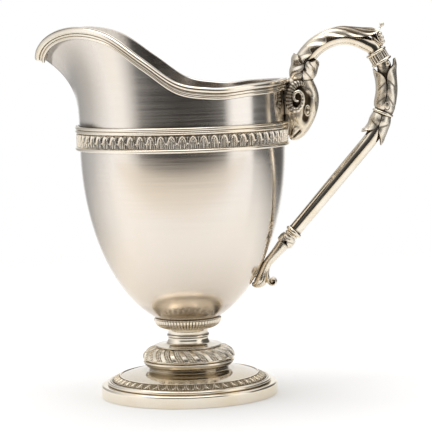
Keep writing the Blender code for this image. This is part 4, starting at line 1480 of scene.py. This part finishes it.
@dataclass
class RamHead:
    """The cast head under the arch, and its curled horns.

    Sections give the height above the seam, the inner and outer reach off the neck's wall and the
    half width. Pads give reach and height, and half sizes along both.
    """

    sections: tuple = (
        (0.0206, 0.0028, 0.0118, 0.0042),
        (0.017, 0.0025, 0.0133, 0.005),
        (0.0142, 0.0004, 0.0139, 0.0053),
        (0.0105, 0.0002, 0.0137, 0.005),
        (0.0075, 0.0002, 0.0129, 0.0045),
        (0.0045, 0.001, 0.0117, 0.004),
        (0.0015, 0.0016, 0.01, 0.0034),
        (-0.0015, 0.0016, 0.0076, 0.0029),
        (-0.0029, 0.0022, 0.0056, 0.0019),
        (-0.0033, 0.003, 0.0046, 0.0008),
    )
    rows: int = 140
    columns: int = 112
    eye_place: Pair = (0.0092, 0.0087)
    # Socket, hollow and tear are sunk and carry painted shade round the eye.
    socket: Feature = Feature(eye_place, eye_place, (0.0019, 0.003), -0.0008, 0.95)
    hollow: Feature = Feature((0.0097, 0.0134), (0.0097, 0.0134), (0.0014, 0.0027), -0.0012, 1.2)
    tear: Feature = Feature((0.0083, 0.0054), (0.0083, 0.0054), (0.0014, 0.0018), -0.0009, 1.2)
    cheek: Feature = Feature((0.0052, 0.0056), (0.0052, 0.0056), (0.0026, 0.0024), 0.0004)
    brow: Feature = Feature((0.0112, 0.013), (0.0118, 0.0085), (0.0009, 0.0009), 0.0006)
    jaw: Feature = Feature((0.003, 0.0068), (0.0062, 0.0016), (0.0006, 0.0006), -0.0003, 0.4)
    mouth: Feature = Feature((0.006, 0.0006), (0.0034, -0.0018), (0.0005, 0.0005), -0.0006, 1.0)
    nostril: Feature = Feature((0.0027, 0.0011), (0.0023, -0.0006), (0.0005, 0.0005), -0.0006, 1.0)
    wing: Feature = Feature((0.0038, 0.0018), (0.0036, -0.0004), (0.0007, 0.0007), 0.0004)
    side_span: Pair = (0.2, 0.6)
    coil_middle: Pair = (0.005, 0.0142)
    coil_squash: float = 0.8
    coil_span: Pair = (0.0048, 0.0032)
    neck_span: Pair = (0.0022, 0.0006)
    neck_tarnish: float = 0.8
    eye_size: Pair = (0.0011, 0.002)
    ball_share: Pair = (0.75, 0.72)
    ball_bulge: float = 0.0007
    ball_sunk: float = 0.0003
    ball_tilt: float = 4.0
    pupil: Pair = (0.0002, 0.0007)
    pupil_tarnish: float = 0.75
    lid_radius: float = 0.00032
    lid_sunk: float = 0.0002
    lid_sweep: float = 0.0004
    lid_pinch: float = 0.25
    pads: tuple = (
        (0.0012, 0.004, 0.0016, 0.0052),
        (0.001, 0.0125, 0.0017, 0.0078),
        (0.0034, 0.0191, 0.0026, 0.0031),
    )
    pad_width: float = 0.0035
    # How dark the pads are: painted shade in the joint behind the head.
    pad_painted_shade: float = 0.55
    horn_route: tuple = (
        (0.0086, 0.0186), (0.0066, 0.0196), (0.0044, 0.019), (0.0027, 0.0168),
        (0.002, 0.014), (0.0021, 0.0112), (0.0034, 0.0093), (0.0052, 0.0092),
        (0.0067, 0.0106), (0.0075, 0.013), (0.0071, 0.0154), (0.0059, 0.0165),
        (0.0045, 0.016), (0.0039, 0.0142), (0.0046, 0.0128), (0.0057, 0.0127),
    )
    horn_radii: tuple = (0.001, 0.0015, 0.0015, 0.0014, 0.0011, 0.0008, 0.0006, 0.0004)
    horn_sides: tuple = (0.004, 0.0052, 0.006, 0.0064, 0.0068, 0.0074, 0.0078, 0.008)
    horn_rows: int = 260
    horn_ridges: float = 26.0
    ridge_crowding: float = 0.8
    ridge_share: float = 0.07
    ridge_tarnish: float = 0.35
    root_tarnish: float = 0.45
    root_span: Pair = (0.62, 0.42)
    back_span: Pair = (0.2, -0.5)

    def build(self, bench: Bench) -> None:
        """Makes and dresses the head with the pads of solder behind it, darkened as painted shade, and the
        two horns.

        Args:
            bench: Where the pieces are made.
        """
        solder = []
        for reach, height, across, up in self.pads:
            x, z = STACK.grip_point((reach, height))
            pad = egg((x, 0.0, z), (across, self.pad_width, up), rows=24, columns=32)
            # The pads are darkened as painted shade in the joint behind the head.
            solder.append(pad.toned(self.pad_painted_shade))
        near = self.eye()
        far = [skin.mirrored() for skin in near]
        bench.make("ram_head", [self.head(), *solder, *near, *far], CAST, Edges.CAST)
        horn = self.horn()
        bench.make("ram_horn_left", [horn], CAST, Edges.CAST)
        bench.make("ram_horn_right", [horn.mirrored()], CAST, Edges.CAST)

    def half_width(self, place: Pair) -> float:
        """How far sideways the head's surface stands at a place, from the ellipse of its section there.

        Args:
            place: Reach and height.

        Returns:
            The distance from the plane of symmetry.
        """
        sections = np.array(self.sections)[::-1]
        inner, outer, half = (np.interp(place[1], sections[:, 0], sections[:, k]) for k in (1, 2, 3))
        share = (place[0] - (inner + outer) / 2) / ((outer - inner) / 2)
        return float(half * math.sqrt(max(1.0 - share**2, 0.0)))

    def head(self) -> Skin:
        """The head: ellipses lofted down from its crown to its muzzle, with its features on both sides.

        Each feature's bell is weighted by how far a point faces sideways.

        Returns:
            The skin, dark in its features (painted shade round the eye), under the horns and towards the
            neck.
        """
        height, inner, outer, half_width = smooth_path(self.sections, self.rows).T[:, :, None]
        turn = circle(self.columns)
        reach = (inner + outer) / 2 + (outer - inner) / 2 * np.cos(turn)
        level = np.broadcast_to(height, reach.shape)
        sideways = half_width * np.sin(turn)
        points = np.stack([STACK.bowl_radius + reach, sideways, STACK.neck_base + level], axis=-1)
        side = step(*self.side_span, np.abs(np.sin(turn)))
        raised, dark = np.zeros(reach.shape), np.zeros(reach.shape)
        round_eye = (self.socket, self.hollow, self.tear, self.brow)
        for feature in (*round_eye, self.cheek, self.jaw, self.mouth, self.nostril, self.wing):
            share = feature.over(reach, level) * side
            raised += feature.rise * share
            dark += feature.tarnish * share
        off_coil = (level - self.coil_middle[1]) * self.coil_squash
        under_horn = step(*self.coil_span, np.hypot(reach - self.coil_middle[0], off_coil)) * side
        by_neck = self.neck_tarnish * step(*self.neck_span, reach)
        return Skin(points).raised(raised, dark + under_horn + by_neck)

    def eye(self) -> list[Skin]:
        """The near eye: a ball, and a pair of lids as one closed almond-shaped wire round it.

        Returns:
            The ball and the lids.
        """
        x, z = STACK.grip_point(self.eye_place)
        out = self.half_width(self.eye_place)
        across, up = self.eye_size
        sizes = (self.ball_share[0] * across, self.ball_bulge, self.ball_share[1] * up)
        ball = egg((x, self.ball_sunk - out, z), sizes, self.ball_tilt, 20, 20)
        pupil = self.pupil_tarnish * bell(ball.points[..., 2], z + self.pupil[0], self.pupil[1])
        turn = circle(64)
        pinch = 1.0 - self.lid_pinch * np.abs(np.sin(turn)) ** 3
        sideways = self.lid_sunk - out + self.lid_sweep * np.cos(turn)
        loop = np.column_stack([x + across * np.cos(turn) * pinch, sideways, z + up * np.sin(turn)])
        return [ball.toned(pupil), coil(loop, np.full(len(turn), self.lid_radius), 12, True)]

    def horn(self) -> Skin:
        """A horn on the near side: a tapered tube that curls round to its tip, ridged by a cosine.

        Returns:
            The skin, dark on its inner side, between its ridges and on its first turn.
        """
        places = smooth_path(self.horn_route, self.horn_rows)
        along = np.linspace(0.0, 1.0, self.horn_rows)
        sideways = spread_values(self.horn_sides, self.horn_rows)
        path = np.column_stack([STACK.bowl_radius + places[:, 0], -sideways, STACK.neck_base + places[:, 1]])
        ridge = 0.5 + 0.5 * np.cos(2 * math.pi * self.horn_ridges * along**self.ridge_crowding)
        size = spread_values(self.horn_radii, self.horn_rows) * (1.0 - self.ridge_share * (1.0 - ridge))
        skin = coil(path, size, 24)
        outward = (-skin.points[..., 1] - sideways[:, None]) / size[:, None]
        tone = self.ridge_tarnish * (1 - ridge) + self.root_tarnish * step(*self.root_span, along)
        return skin.toned(step(*self.back_span, outward) + tone[:, None])


@dataclass
class Grip:
    """The handle from the ram's head over the arch and down to the bowl.

    Places are (reach off the neck's wall, height above the seam), leans degrees from straight up.
    """

    sides: int = 40
    route_points: int = 12
    path_points: int = 120
    leaf_points: int = 24
    lead: float = 0.0012
    leaf_gap: float = 0.0003
    leaf_root: float = 0.0003
    head_top: Pair = (0.0073, 0.0203)
    arch_route: tuple = ((0.0092, 0.0284), (0.0154, 0.0347), (0.0248, 0.0373), (0.0324, 0.035))
    arch_radius: float = 0.003
    calyx_jug: Pair = (0.0088, 0.0022)
    calyx_grip: Pair = (0.0112, 0.001)
    calyx_swell: float = 0.001
    calyx_spread: tuple = (89, 90, 90, 84, 44)
    thumb_start: float = 0.0055
    thumb_leave: float = 0.0279
    thumb_free: tuple = (
        (0.033, 0.0373), (0.0357, 0.0379), (0.0377, 0.0386), (0.0391, 0.0398), (0.0396, 0.0412),
    )
    thumb_narrowing: tuple = (1.0, 1.0, 1.0, 1.0, 1.0, 0.9, 0.61, 0.1)
    thumb_spread: tuple = (80, 92, 96, 90, 86, 86, 86, 60)
    thumb_knob: float = 0.0009
    sprig_root: Pair = (0.0398, 0.0336)
    sprig_tips: tuple = ((0.0328, 0.0371), (0.0348, 0.0381), (0.0368, 0.0387), (0.0384, 0.0392))
    sprig_berries: tuple = ((0.0386, 0.0383), (0.0393, 0.0369), (0.0397, 0.0353))
    sprig_half: Pair = (0.0005, 0.0021)
    sprig_heart: tuple = (0.0014, 0.0014, 0.003)
    berry_radius: float = 0.001
    berry_out: float = 0.0009
    collar_place: Pair = (0.0381, 0.0292)
    collar_lean: float = 150.5
    collar_radius: float = 0.0039
    collar_length: float = 0.003
    collar_flutes: int = 18
    flute_steps: int = 12
    flute_rows: int = 16
    flute_power: float = 0.6
    flute_depth: float = 0.00045
    flute_tarnish: float = 1.4
    bead_radius: float = 0.0044
    bead_length: float = 0.0009
    sheath_route: tuple = ((0.0408, 0.0205), (0.0409, 0.015), (0.0402, 0.0107))
    sheath_throat: float = 0.0028
    sheath_radius: float = 0.0029
    sheath_tuck: float = 0.0006
    sheath_outer: Pair = (0.0192, 0.0019)
    sheath_inner: Pair = (0.0178, 0.0011)
    sheath_spread: tuple = (88, 88, 87, 87, 86, 84, 66, 20)
    husk_spread: tuple = (84, 87, 87, 76, 46, 12)
    fork_leaflet: tuple = (0.0409, 0.0036, 0.0099)
    fork_sizes: tuple = (0.0013, 0.0009, 0.002)
    sheath_bud: tuple = (0.0416, 0.002, 0.0263)
    bud_sizes: tuple = (0.0011, 0.0011, 0.0014)
    bud_edge: Pair = (0.6, 0.95)
    core_dark: Pair = (0.02, 0.3)
    ring_place: Pair = (0.0393, 0.0069)
    ring_lean: float = 202.0
    ring_radius: float = 0.0044
    ring_length: float = 0.0012
    rod_bend: tuple = ((0.0374, 0.0018), (0.0334, -0.0045))
    rod_top: float = 0.0029
    rod_radius: float = 0.0027
    husk_length: float = 0.0108
    husk_curl: float = 0.0014
    rod_stations: tuple = (0.1, 0.55, 1.0)
    large_ring: Pair = (0.0035, 0.0016)
    small_ring: Pair = (0.0028, 0.001)
    cup: Pair = (0.0029, 0.003)
    cup_sweep: float = 65.0
    cup_throat: float = 0.0023
    cup_leaf: float = 0.0012
    cup_standoff: tuple = (0.0018, 0.0022, 0.0022, 0.0021)
    cup_spread: tuple = (89, 88, 74, 20)
    scroll_seats: tuple = (
        (37.5, 0.0021, 0.0027), (41.0, 0.0018, 0.0025), (44.5, 0.002, 0.0027),
        (48.0, 0.0026, 0.0033), (50.0, 0.0017, 0.0023), (51.0, 0.0006, 0.0009),
    )
    scroll_top: Pair = (0.0072, 0.004)
    scroll_half: float = 0.0026
    groove_line: Pair = (0.3, 0.1)
    groove_start: Pair = (0.45, 0.7)
    groove_end: Pair = (0.97, 0.86)
    groove_depth: float = 0.0003
    groove_tarnish: float = 0.7
    volute_radius: float = 0.0017
    volute_half_width: float = 0.0032
    volute_gap: float = 0.0007
    volute_eye: Pair = (0.0006, 1.05)
    volute_lead: Pair = (1.66, 1.88)
    volute_turn: Pair = (180.0, 630.0)
    volute_end: float = 0.2
    volute_half: tuple = (0.0001, 0.0007, 0.0008, 0.0007, 0.0006, 0.0005)
    volute_wide: tuple = (0.15, 0.7, 0.95, 1.0, 1.05, 1.1)
    calyx_cut: LeafCut = LeafCut(lobes=2.5, notch=0.06, slant=0.5, vein=0.0003, curl=0.0004, rows=72)
    # The thumb leaf's shade is painted shade that darkens it towards its tip.
    thumb_cut: LeafCut = LeafCut(
        thickness=0.001, lobes=5.2, notch=0.2, lobe_end=0.6, vein=0.0004, slant=0.2, curl=0.0008,
        sweep=2.0, furrow=0.45, shade=0.65, rows=160,
    )
    sheath_cut: LeafCut = LeafCut(lobes=3.0, slant=0.3, vein=0.0002, rows=110)
    husk_cut: LeafCut = LeafCut(lobes=2.0, slant=0.3, vein=0.0002, rows=72)

    def build(self, bench: Bench) -> None:
        """Makes and dresses the handle's pieces from the head to the bowl."""
        self.rod(bench, self.sheath(bench, self.arch(bench)))

    def led(self, lead_in: Array, points: Sequence[Array], lead_out: Array) -> Array:
        """A smooth path whose ends run straight for a short lead, square to what they meet.

        Args:
            lead_in: Direction in which it leaves its first point.
            points: (x, z) points that it passes.
            lead_out: Direction in which it comes to its last point.

        Returns:
            The path's points.
        """
        points = np.array(points, float)
        start, end = points[0].copy(), points[-1].copy()
        points[0] += self.lead * lead_in
        points[-1] -= self.lead * lead_out
        rough = np.vstack([start, smooth_path(points, self.route_points), end])
        return smooth_path(rough, self.path_points)

    def arch(self, bench: Bench) -> Array:
        """Calyx leaves, arch, thumb leaf with its bud, and the fluted collar between beads.

        Args:
            bench: Where the pieces are made.

        Returns:
            Where the sheath starts, as (x, z).
        """
        axis = lean(self.collar_lean)
        collar_start = STACK.grip_point(self.collar_place) - axis * self.collar_length / 2
        bead_start = collar_start - axis * (STACK.seat + self.bead_length)
        collar_end = collar_start + axis * (self.collar_length + STACK.seat)
        route = [STACK.grip_point(self.head_top), *map(STACK.grip_point, self.arch_route), bead_start]
        path = self.led(lean(0.0), route, axis)
        radii = np.full(len(path), self.arch_radius)
        bench.make("arch_tube", [tube(path, radii, radii, self.sides)], TURNED)

        for node, place in (("upper", bead_start), ("lower", collar_end - axis * STACK.seat)):
            bead = self.disc(self.bead_radius, self.bead_length + STACK.seat, place, axis)
            bench.make(f"collar_bead_{node}", [bead], TURNED)
        bench.make("handle_collar", [self.fluted(collar_start, axis)], CAST, Edges.CARVED)

        clear = self.arch_radius + self.leaf_gap
        swell = clear + self.calyx_swell
        calyx = (("jug", self.calyx_jug, Side.LEFT), ("grip", self.calyx_grip, Side.RIGHT))
        for node, (length, curl), side in calyx:
            spine = stretch(path, self.leaf_root, length, self.leaf_points)
            standoff = (clear, swell, swell, clear + curl)
            blade = leaf(spine, side, standoff, self.calyx_spread, self.calyx_cut)
            bench.make(f"calyx_leaf_{node}", [blade], CAST, Edges.CARVED)

        standoff = tuple(clear * share for share in self.thumb_narrowing)
        free = [STACK.grip_point(place) for place in self.thumb_free]
        spine = [*stretch(path, self.thumb_start, self.thumb_leave, self.leaf_points), *free]
        blade = leaf(spine, Side.LEFT, standoff, self.thumb_spread, self.thumb_cut)
        knob = egg((free[-1][0], 0.0, free[-1][1] + self.thumb_knob), (self.thumb_knob,) * 3)
        bench.make("thumb_leaf", [blade, knob], CAST, Edges.CARVED)
        bench.make("thumb_bud", self.sprig(), CAST)
        return collar_end + axis * (self.bead_length + STACK.seat)

    def sprig(self) -> list[Skin]:
        """The sprig under the thumb leaf's tip: leaflets that fan out from one root round a dark heart.

        Returns:
            The leaflets, the heart, and the berries at their side.
        """
        root = STACK.grip_point(self.sprig_root)
        tips = [STACK.grip_point(place) for place in self.sprig_tips]
        skins = []
        for tip in tips:
            sizes = (*self.sprig_half, np.linalg.norm(tip - root) / 2)
            skins.append(self.leaflet(root, tip, sizes, rows=28, columns=24))
        skins.append(self.leaflet(root, np.mean(tips, axis=0), self.sprig_heart).toned(1.0))
        for place in self.sprig_berries:
            x, z = STACK.grip_point(place)
            for out in (-self.berry_out, self.berry_out):
                skins.append(egg((x, out, z), (self.berry_radius,) * 3))
        return skins

    def leaflet(self, root: Array, tip: Array, sizes: Sequence[float], **grid: int) -> Skin:
        """An egg half way between two places, tilted along the line between them.

        Args:
            root: The one place, as (x, z).
            tip: The other.
            sizes: The egg's half sizes.
            **grid: Its rows and columns.

        Returns:
            The skin, with no recess yet.
        """
        x, z = (root + tip) / 2
        tilt = math.degrees(math.atan2(*(tip - root)))
        return egg((x, 0.0, z), sizes, tilt, **grid)

    def disc(self, radius: float, length: float, place: Array, axis: Array) -> Skin:
        """A disc with a half-round edge, from a place on along an axis of the handle."""
        return turned_along(rounded_disc(radius, length), self.sides, place, axis)

    def fluted(self, place: Array, axis: Array) -> Skin:
        """The collar's barrel: a cylinder cut with flutes, each a power of a half sine across.

        Args:
            place: Where it starts, as (x, z).
            axis: Its direction, as (x, z).

        Returns:
            The skin, dark between the flutes.
        """
        top, base = self.collar_length + STACK.seat, -STACK.seat
        side = line((self.collar_radius, top), (self.collar_radius, base), self.flute_rows)
        skin = turned_along(capped(top, side, base), self.collar_flutes * self.flute_steps, place, axis)
        ridge = np.sin(math.pi * phases(self.collar_flutes, self.flute_steps)) ** self.flute_power
        hollow = np.zeros(skin.points.shape[:2])
        hollow[1:-1] = 1.0 - ridge
        return skin.raised(-self.flute_depth * hollow, self.flute_tarnish * hollow)

    def sheath(self, bench: Bench, start: Array) -> Array:
        """The upper sheath: a core from the collar to the ring, the ring, and two leaves that rise from it.

        Args:
            bench: Where the pieces are made.
            start: Where the core starts, as (x, z).

        Returns:
            Where the rod starts, as (x, z).
        """
        axis = lean(self.ring_lean)
        ring_start = STACK.grip_point(self.ring_place) - axis * self.ring_length / 2
        collar_axis = lean(self.collar_lean)
        route = [start - collar_axis * STACK.seat, *map(STACK.grip_point, self.sheath_route), ring_start]
        core = self.led(collar_axis, route, axis)
        radii = spread_values((self.sheath_throat, *(self.sheath_radius,) * 3), len(core))
        dark = step(*self.core_dark, rising(len(core)))
        skins = [tube(core, radii, radii, self.sides).toned(dark)]
        buds = ((self.fork_leaflet, self.fork_sizes), (self.sheath_bud, self.bud_sizes))
        for (reach, out, height), sizes in buds:
            x, z = STACK.grip_point((reach, height))
            bud = egg((x, -out, z), sizes)
            off = np.hypot((bud.points[..., 0] - x) / sizes[0], (bud.points[..., 2] - z) / sizes[2])
            bud = bud.toned(step(*self.bud_edge, off))
            skins += [bud, bud.mirrored()]
        bench.make("sheath_core", skins, CAST)
        ring = self.disc(self.ring_radius, self.ring_length, ring_start, axis)
        bench.make("sheath_ring", [ring], TURNED)

        clear = self.sheath_radius + self.leaf_gap
        pair = (("outer", self.sheath_outer, Side.RIGHT), ("inner", self.sheath_inner, Side.LEFT))
        for node, (length, curl), side in pair:
            spine = stretch(core[::-1], 0.0, length, self.leaf_points)
            standoff = (clear - self.sheath_tuck, *(clear,) * 4, clear + curl / 5, clear + curl)
            blade = leaf(spine, side, standoff, self.sheath_spread, self.sheath_cut)
            bench.make(f"sheath_leaf_{node}", [blade], CAST, Edges.CARVED)
        return ring_start + axis * (self.ring_length + STACK.seat)

    def rod(self, bench: Bench, start: Array) -> None:
        """Lower leaves, rod, its double ring, the cup and the scroll foot on the bowl.

        Args:
            bench: Where the pieces are made.
            start: Where the rod starts, as (x, z).
        """
        seat, _ = STACK.bowl_point(self.scroll_seats[0][0])
        foot_top = seat + self.scroll_top
        bend = [STACK.grip_point(place) for place in self.rod_bend]
        axis = unit(bend[-1] - foot_top)
        cup_start = foot_top + axis * STACK.seat
        small_start = cup_start + axis * (self.cup[1] + STACK.seat)
        large_start = small_start + axis * (self.small_ring[1] + STACK.seat)
        rod_end = large_start + axis * (self.large_ring[1] + STACK.seat)
        straight = [bend[-1] + share * (rod_end - bend[-1]) for share in self.rod_stations]
        ring_axis = lean(self.ring_lean)
        path = self.led(ring_axis, [start - ring_axis * STACK.seat, *bend, *straight], -axis)
        radii = spread_values((self.rod_top, self.rod_top, self.rod_radius), len(path))
        bench.make("handle_rod", [tube(path, radii, radii, self.sides)], TURNED)
        clear = self.rod_top + self.leaf_gap
        curl = self.husk_curl
        standoff = (clear - self.sheath_tuck, clear, clear, clear + curl / 4, clear + curl)
        spine = stretch(path, 0.0, self.husk_length, self.leaf_points)
        for node, side in (("outer", Side.LEFT), ("inner", Side.RIGHT)):
            blade = leaf(spine, side, standoff, self.husk_spread, self.husk_cut)
            bench.make(f"husk_leaf_{node}", [blade], CAST, Edges.CARVED)

        rings = (("large", self.large_ring, large_start), ("small", self.small_ring, small_start))
        for node, (radius, length), place in rings:
            ring = self.disc(radius, length + STACK.seat, place, axis)
            bench.make(f"rod_ring_{node}", [ring], TURNED)
        bench.make("scroll_cup", self.leafy_cup(cup_start, axis), CAST, Edges.CARVED)
        bench.make("scroll_foot", self.scroll(foot_top, axis), CAST)

    def leafy_cup(self, place: Array, axis: Array) -> list[Skin]:
        """The cup under the rings: an elliptic side down from a throat, wrapped in two small leaves.

        Args:
            place: Where its foot is, as (x, z).
            axis: The rod's direction, as (x, z).

        Returns:
            The cup and its leaves.
        """
        radius, height = self.cup
        top = height + 2 * STACK.seat
        depth = height / math.sin(math.radians(self.cup_sweep))
        bowl = arc((0.0, height), (radius, depth), 0, -self.cup_sweep, 16)
        throat = line((self.cup_throat, top), (self.cup_throat, height), 2)
        profile = capped(top, np.vstack([throat, bowl]), -STACK.seat)
        spine = line(place + axis * height, place - axis * self.cup_leaf, self.route_points)
        blades = [leaf(spine, side, self.cup_standoff, self.cup_spread, self.husk_cut) for side in Side]
        return [turned_along(profile, self.sides, place, axis), *blades]

    def scroll(self, top: Array, axis: Array) -> list[Skin]:
        """The bracket down the bowl's wall, an ellipse at each station, and its rolled volute.

        Args:
            top: Where it meets the cup, as (x, z).
            axis: The rod's direction, as (x, z).

        Returns:
            The bracket, the volute and its eye.
        """
        seats = []
        for angle, half, half_width in self.scroll_seats:
            point, normal = STACK.bowl_point(angle)
            seats.append((*(point + normal * (ON_BOWL * STACK.seat + half)), half, half_width))
        neck = top - axis * 2 * self.scroll_half
        stations = [(*top, self.scroll_half, self.scroll_half), (*neck, *seats[0][2:]), *seats[1:]]
        stations = smooth_path(stations, 90)
        bracket = tube(stations[:, :2], stations[:, 2], stations[:, 3], 2 * self.sides)
        down = rising(len(stations))
        groove = bell(np.cos(circle(2 * self.sides)), *self.groove_line)
        groove = groove * step(*self.groove_start, down) * step(*self.groove_end, down)
        dark = bracket.recess + self.groove_tarnish * groove
        bracket = bracket.raised(-self.groove_depth * groove, dark)
        lobe_x, lobe_z, lobe_half, _ = seats[-3]
        centre = (lobe_x + lobe_half + self.volute_radius + self.volute_gap, lobe_z)
        turn = np.radians(np.linspace(*self.volute_turn, 40))
        radius = np.linspace(self.volute_radius, self.volute_end * self.volute_radius, len(turn))
        wound = np.column_stack([centre[0] + radius * np.cos(turn), centre[1] + radius * np.sin(turn)])
        lead = []
        for share, (angle, half, _) in zip(self.volute_lead, self.scroll_seats[1:]):
            point, normal = STACK.bowl_point(angle)
            lead.append(point + share * half * normal)
        path = smooth_path(np.vstack([lead, wound]), 100)
        half_width = self.volute_half_width * spread_values(self.volute_wide, len(path))
        roll = tube(path, spread_values(self.volute_half, len(path)), half_width, 24)
        eye, wide = self.volute_eye
        boss = egg((centre[0], 0.0, centre[1]), (eye, wide * self.volute_half_width, eye))
        return [bracket, roll, boss]


@dataclass
class Studio:
    """A pale table, soft light from all round with darkness before it, and the camera."""

    camera_place: tuple = (0.02982, -0.84884, 0.15)
    camera_target: tuple = (-0.001564, 0.0, 0.07203)
    camera_roll: float = -1.595
    lens: float = 176.48
    sensor: float = 36.0
    clip: Pair = (0.01, 20.0)
    round_about: tuple = (
        (-180.0, 1.0), (-167.0, 1.0), (-153.0, 0.4), (-118.0, 0.6), (-94.0, 0.93), (-76.0, 1.17),
        (-64.0, 1.17), (-56.0, 0.88), (-42.0, 0.2), (-27.0, 0.08), (0.0, 0.03), (31.0, 0.045),
        (50.0, 0.13), (57.0, 0.9), (62.0, 1.22), (85.0, 1.22), (90.0, 0.15), (110.0, 0.1),
        (145.0, 0.12), (153.0, 0.2), (167.0, 1.0), (180.0, 1.0),
    )
    white_above: Pair = (0.45, 0.75)
    table_reach: float = 1.0
    table_lit: tuple = (
        (-0.85, 0.0), (-0.58, 0.15), (-0.4, 0.85), (-0.24, 0.93), (-0.08, 1.0),
        (0.02, 1.0), (0.09, 0.8), (0.28, 0.3), (0.5, 0.0),
    )
    table_sides: tuple = ((-0.6, 0.25), (-0.2, 0.5), (-0.09, 1.0), (0.09, 1.0), (0.4, 0.7))
    sides_span: Pair = (-0.12, 0.0)
    front_span: Pair = (-0.26, -0.13)
    table_colour: Colour = (0.95, 0.947, 0.94, 1.0)
    table_front_colour: Colour = (0.86, 0.8, 0.72, 1.0)
    lamp_power: float = 11.5
    lamp_size: float = 1.4
    lamp_place: tuple = (-0.2, 0.1, 1.5)

    def build(self) -> None:
        """Sets the view transform and makes the camera, the world, the lamp and the table."""
        bpy.context.scene.view_settings.view_transform = "Standard"
        self.camera()
        self.world()
        self.lamp()
        self.table()

    def camera(self) -> None:
        """A long lens at the photograph's viewing angle, rolled a little."""
        data = bpy.data.cameras.new("camera")
        data.lens = self.lens
        data.sensor_width = self.sensor
        data.clip_start, data.clip_end = self.clip
        camera = bpy.data.objects.new("camera", data)
        bpy.context.scene.collection.objects.link(camera)
        place, target = Vector(self.camera_place), Vector(self.camera_target)
        turn = (target - place).to_track_quat("-Z", "Y").to_matrix().to_4x4()
        roll = Matrix.Rotation(math.radians(self.camera_roll), 4, "Z")
        camera.matrix_world = Matrix.Translation(place) @ turn @ roll
        bpy.context.scene.camera = camera

    def world(self) -> None:
        """A studio by direction: the levels listed round about, dark in front, and white above.

        The bearing runs from straight in front of the jug towards +X.
        """
        world = bpy.data.worlds.new("studio")
        bpy.context.scene.world = world
        sheet = NodeSheet(world)
        direction = sheet.add("ShaderNodeTexCoord").outputs["Generated"]
        x, y, z = sheet.add("ShaderNodeSeparateXYZ", {0: direction}).outputs
        bearing = sheet.sums("ARCTAN2", x, sheet.sums("MULTIPLY", y, -1.0))
        share = sheet.sums("MULTIPLY_ADD", bearing, 0.5 / math.pi, 0.5)
        level = sheet.ramp(share, [(angle / 360 + 0.5, level) for angle, level in self.round_about])
        above = sheet.ranged(z, *self.white_above, 0.0, 1.0)
        studio = sheet.mixed(above, level, WHITE)
        seen = sheet.add("ShaderNodeLightPath").outputs["Is Camera Ray"]
        colour = sheet.mixed(seen, studio, WHITE)
        background = sheet.add("ShaderNodeBackground", {"Color": colour, "Strength": 1.0})
        sheet.add("ShaderNodeOutputWorld", {"Surface": background.outputs[0]})

    def lamp(self) -> None:
        """A wide soft lamp over the table."""
        data = bpy.data.lights.new("overhead", "AREA")
        data.shape = "SQUARE"
        data.size = self.lamp_size
        data.energy = self.lamp_power
        lamp = bpy.data.objects.new("overhead", data)
        bpy.context.scene.collection.objects.link(lamp)
        lamp.location = self.lamp_place

    def table(self) -> None:
        """The table top: a pale flat sheet that fades out in front and behind, reflected warmer in front."""
        reach = self.table_reach
        points = [(-reach, -reach, 0.0), (reach, -reach, 0.0), (reach, reach, 0.0), (-reach, reach, 0.0)]
        mesh = bpy.data.meshes.new("table")
        mesh.from_pydata(points, [], [(0, 1, 2, 3)])
        table = bpy.data.objects.new("table", mesh)
        bpy.context.scene.collection.objects.link(table)
        material = bpy.data.materials.new("table_paper")
        sheet = NodeSheet(material)
        place = sheet.add("ShaderNodeTexCoord").outputs["Object"]
        across, depth, _ = sheet.add("ShaderNodeSeparateXYZ", {0: place}).outputs
        levels = []
        for where, stops in ((depth, self.table_lit), (across, self.table_sides)):
            share = sheet.sums("MULTIPLY_ADD", where, 0.5 / reach, 0.5)
            levels.append(sheet.ramp(share, [(0.5 * at / reach + 0.5, level) for at, level in stops]))
        behind = sheet.ranged(depth, *self.sides_span, 0.0, 1.0)
        lit = sheet.sums("MULTIPLY", levels[0], sheet.mixed(behind, WHITE, levels[1]))
        seen = sheet.add("ShaderNodeLightPath").outputs["Is Camera Ray"]
        front = sheet.ranged(depth, *self.front_span, sheet.sums("SUBTRACT", 1.0, seen), 0.0)
        shade = sheet.mixed(front, self.table_colour, self.table_front_colour)
        paper = sheet.add("ShaderNodeBsdfDiffuse", {"Color": shade})
        clear = sheet.add("ShaderNodeBsdfTransparent")
        sheet_end = sheet.add("ShaderNodeMixShader", {0: lit, 1: clear.outputs[0], 2: paper.outputs[0]})
        sheet.add("ShaderNodeOutputMaterial", {"Surface": sheet_end.outputs[0]})
        mesh.materials.append(material)


def main() -> None:
    """Builds the studio and the jug's sub-assemblies in order."""
    logging.basicConfig(level=logging.INFO, format="%(name)s %(message)s")
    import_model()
    Studio().build()
    bench = Bench()
    for part in (Foot(), Stem(), Body(), RamHead(), Grip()):
        part.build(bench)
        LOG.info("%s done", type(part).__name__)


if __name__ == "__main__":
    main()
